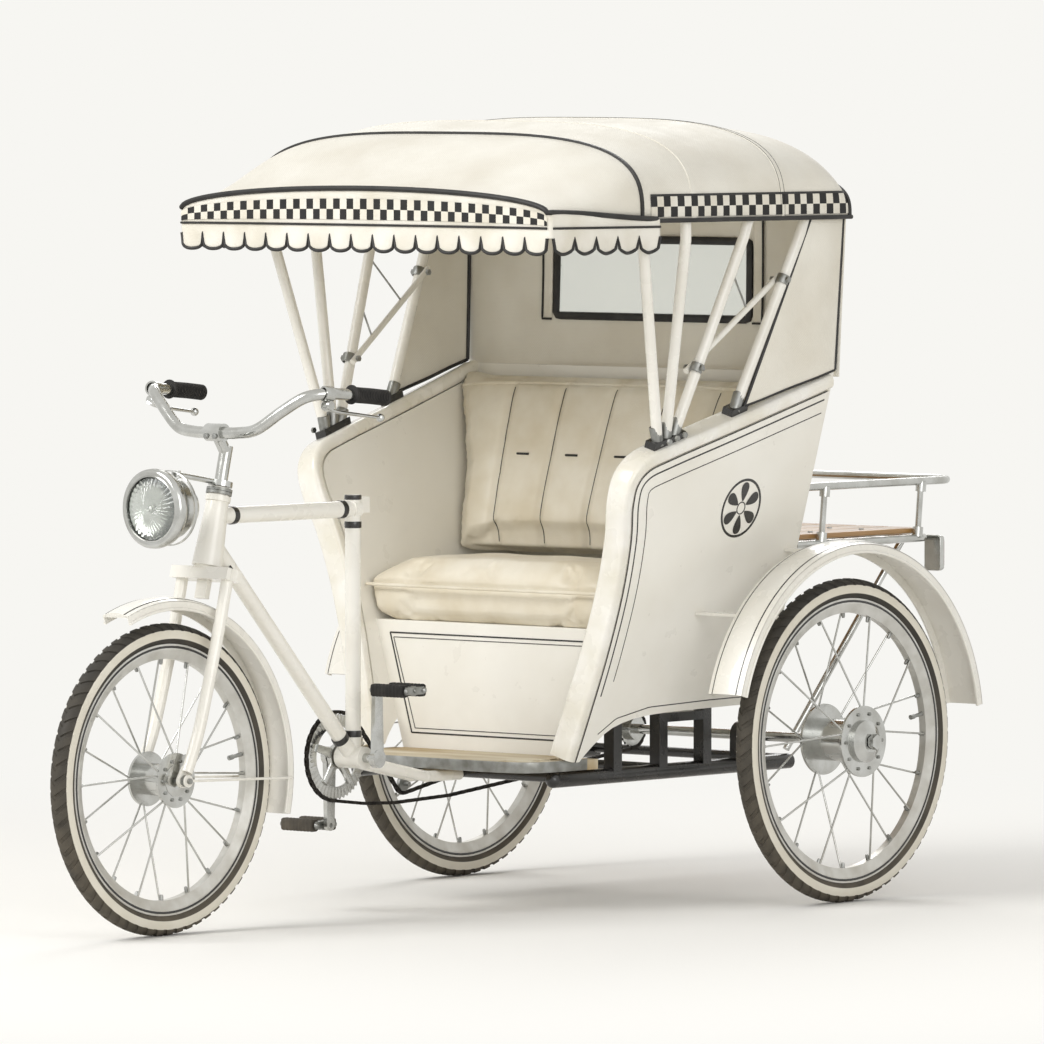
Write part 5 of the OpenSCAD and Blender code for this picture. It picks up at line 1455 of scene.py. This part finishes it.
outerLinks, innerLinks = np.arange(0, links, 2), np.arange(1, links, 2)
chainShapes = [alongLinks(plate(s * 0.0031 + a, s * 0.0031 + b), outerLinks) for s, a,
               b in ((1, 0, 0.0011), (-1, -0.0011, 0))]
chainShapes += [alongLinks(plate(s * 0.0019 + a, s * 0.0019 + b), innerLinks) for s, a,
                b in ((1, 0, 0.0011), (-1, -0.0011, 0))]
roller = turned([(-0.0044, 0), (-0.0044, 0.0017), (-0.0019, 0.0017), (-0.0019, 0.0035),
                 (0.0019, 0.0035), (0.0019, 0.0017), (0.0044, 0.0017), (0.0044, 0)], (0, 0, 0),
                (0, 0, 1), 8)
chainShapes.append(repeated(roller, at(pins3), np.tile([1.0, 0, 0], (links, 1))))
makePiece("Chain", chainShapes, "oiledSteel", "chassis", ["chain"], sharp=40)

# pedals: rubber blocks with raised ribs between two cage plates, on a barrel
pedalLook = {"out": 129.0, "crank": 150, "blockHalf": 44, "plateAt": 46, "spread": 29}
for sideName, s in (("Left", 1), ("Right", -1)):
    body = sideName.lower() + "_pedal"
    centre = np.array([s * pedalLook["out"], ringAt[0], ringAt[1] + s * pedalLook["crank"]])
    blocks, ribs, cage = [], [], []
    for y in (-pedalLook["spread"], pedalLook["spread"]):
        path = evenly(np.array([centre + (-pedalLook["blockHalf"], y, 0),
                                centre + (pedalLook["blockHalf"], y, 0)]), 60)
        rib = 1 + 0.07 * (np.sin(math.pi * 9 * np.linspace(0, 1, 60)) ** 2 > 0.55)
        blocks.append(sweep(at(path), roundedBox(0.0215, 0.0255, 0.005, 3), (0, 0, 1), scale=rib))
    for x in (-pedalLook["plateAt"], pedalLook["plateAt"]):
        bar = np.array([centre + (x, -31, 0), centre + (x, 31, 0)])
        cage.append(sweep(at(evenly(bar, 6)), roundedBox(0.0035, 0.017, 0.0015, 2), (0, 0, 1)))
        out = math.copysign(1, x)
        nut = [(0, 0.0065), (0.0035, 0.006), (0.006, 0.003), (0.006, 0)]
        cage += [turned(nut, at(centre + (x + 1.6 * out, y, 0)), (out, 0, 0), 12)
                 for y in (-pedalLook["spread"], pedalLook["spread"])]
    barrel = turned([(-0.047, 0.008), (-0.047, 0.0105), (-0.040, 0.0105), (-0.034, 0.0085),
                     (0.034, 0.0085), (0.040, 0.0105), (0.047, 0.0105), (0.047, 0.008)], at(centre),
                    (1, 0, 0), 28)
    spindle = turned([(-0.063, 0), (-0.063, 0.0049), (0.049, 0.0049), (0.051, 0.004), (0.051, 0)],
                     at(centre), (s, 0, 0), 16)
    makePiece(sideName + "PedalBlocks", blocks, "mouldedRubber", body, [body], sharp=40)
    makePiece(sideName + "PedalCage", cage + [barrel, spindle], "zincSteel", body,
              sharp=40)
print("drive done")


stageLook = {"floor": "#f3f1ec", "backdrop": "#f7f6f2", "aim": (0.1175, 0.1115, 0.840), "azimuth": 40.6,
             "elevation": 2.7, "distance": 22.8, "lens": 362, "keyPower": 272, "fillPower": 100,
             "rimPower": 130, "world": 0.56}
# matt floor paint: pale to the camera, plain to the light, and it keeps the wheels' shadows
tree, shader = startMaterial("floorPaint",
                             {"Base Color": linear(stageLook["floor"]), "Roughness": 0.9,
                              "Specular IOR Level": 0.1})
# away from the object the floor turns into the backdrop for whatever looks at it, by the distance from
# its middle
spot = addNode(tree, "ShaderNodeVectorMath", {"operation": "LENGTH"},
               {0: (addNode(tree, "ShaderNodeTexCoord"), "Object")})
far = addNode(tree, "ShaderNodeMapRange", {"interpolation_type": "SMOOTHSTEP"},
              {"Value": (spot, "Value"), "From Min": 1.5, "From Max": 4.2})
look = addNode(tree, "ShaderNodeLightPath")
watched = addNode(tree, "ShaderNodeMath", {"operation": "MAXIMUM"},
                  {0: (look, "Is Camera Ray"), 1: (look, "Is Glossy Ray")})
amount = addNode(tree, "ShaderNodeMath", {"operation": "MULTIPLY"},
                 {0: (far, "Result"), 1: (watched, "Value")})
pale = addNode(tree, "ShaderNodeEmission", inputs={"Color": linear(stageLook["backdrop"]), "Strength": 1.0})
blend = addNode(tree, "ShaderNodeMixShader",
                inputs={0: (amount, "Value"), 1: (shader, "BSDF"), 2: (pale, "Emission")})
tree.links.new(blend.outputs[0],
               next(n for n in tree.nodes if n.type == "OUTPUT_MATERIAL").inputs["Surface"])
floorMesh = bpy.data.meshes.new("Floor")
floorMesh.from_pydata([(-60, -60, 0), (60, -60, 0), (60, 60, 0), (-60, 60, 0)], [], [(0, 1, 2, 3)])
floorMesh.materials.append(materials["floorPaint"])
floor = bpy.data.objects.new("Floor", floorMesh)
bpy.context.scene.collection.objects.link(floor)

world = bpy.data.worlds.new("Studio")
bpy.context.scene.world = world
world.use_nodes = True
sky = world.node_tree
sky.nodes.clear()
path = addNode(sky, "ShaderNodeLightPath")
seen = addNode(sky, "ShaderNodeMath", {"operation": "MAXIMUM"},
               {0: (path, "Is Camera Ray"), 1: (path, "Is Glossy Ray")})
shown = addNode(sky, "ShaderNodeMath", {"operation": "MAXIMUM"},
                {0: (seen, "Value"), 1: (path, "Is Transmission Ray")})
plain = addNode(sky, "ShaderNodeBackground",
                inputs={"Color": linear("#ffffff"), "Strength": stageLook["world"]})
backdrop = addNode(sky, "ShaderNodeBackground",
                   inputs={"Color": linear(stageLook["backdrop"]), "Strength": 1.0})
either = addNode(sky, "ShaderNodeMixShader",
                 inputs={0: (shown, "Value"), 1: (plain, "Background"), 2: (backdrop, "Background")})
addNode(sky, "ShaderNodeOutputWorld", inputs={"Surface": (either, "Shader")})


def softLight(name, place, target, size, power):
    data = bpy.data.lights.new(name, "AREA")
    data.shape, data.size, data.energy = "SQUARE", size, power
    lamp = bpy.data.objects.new(name, data)
    back = unit(np.subtract(place, target))
    lamp.location = place
    lamp.rotation_euler = mathutils.Vector(back.tolist()).to_track_quat("Z", "Y").to_euler()
    bpy.context.scene.collection.objects.link(lamp)


softLight("KeyLight", (-1.5, -5.2, 5.0), (0, 0, 0.9), 3.2, stageLook["keyPower"])
softLight("FillLight", (5.4, -2.4, 2.6), (0, 0, 0.8), 3.6, stageLook["fillPower"])
softLight("BackLight", (-3.0, 5.0, 4.6), (0, 0, 1.0), 3.0, stageLook["rimPower"])

azimuth, elevation = math.radians(stageLook["azimuth"]), math.radians(stageLook["elevation"])
backward = np.array([math.sin(azimuth) * math.cos(elevation), -math.cos(azimuth) * math.cos(elevation),
                     math.sin(elevation)])
cameraData = bpy.data.cameras.new("Camera")
cameraData.lens, cameraData.sensor_width = stageLook["lens"], 36.0
cameraData.clip_end = 200.0
camera = bpy.data.objects.new("Camera", cameraData)
camera.location = (np.array(stageLook["aim"]) + backward * stageLook["distance"]).tolist()
camera.rotation_euler = mathutils.Vector(backward.tolist()).to_track_quat("Z", "Y").to_euler()
bpy.context.scene.collection.objects.link(camera)
bpy.context.scene.camera = camera
bpy.context.scene.view_settings.view_transform = "Standard"
print("stage done")
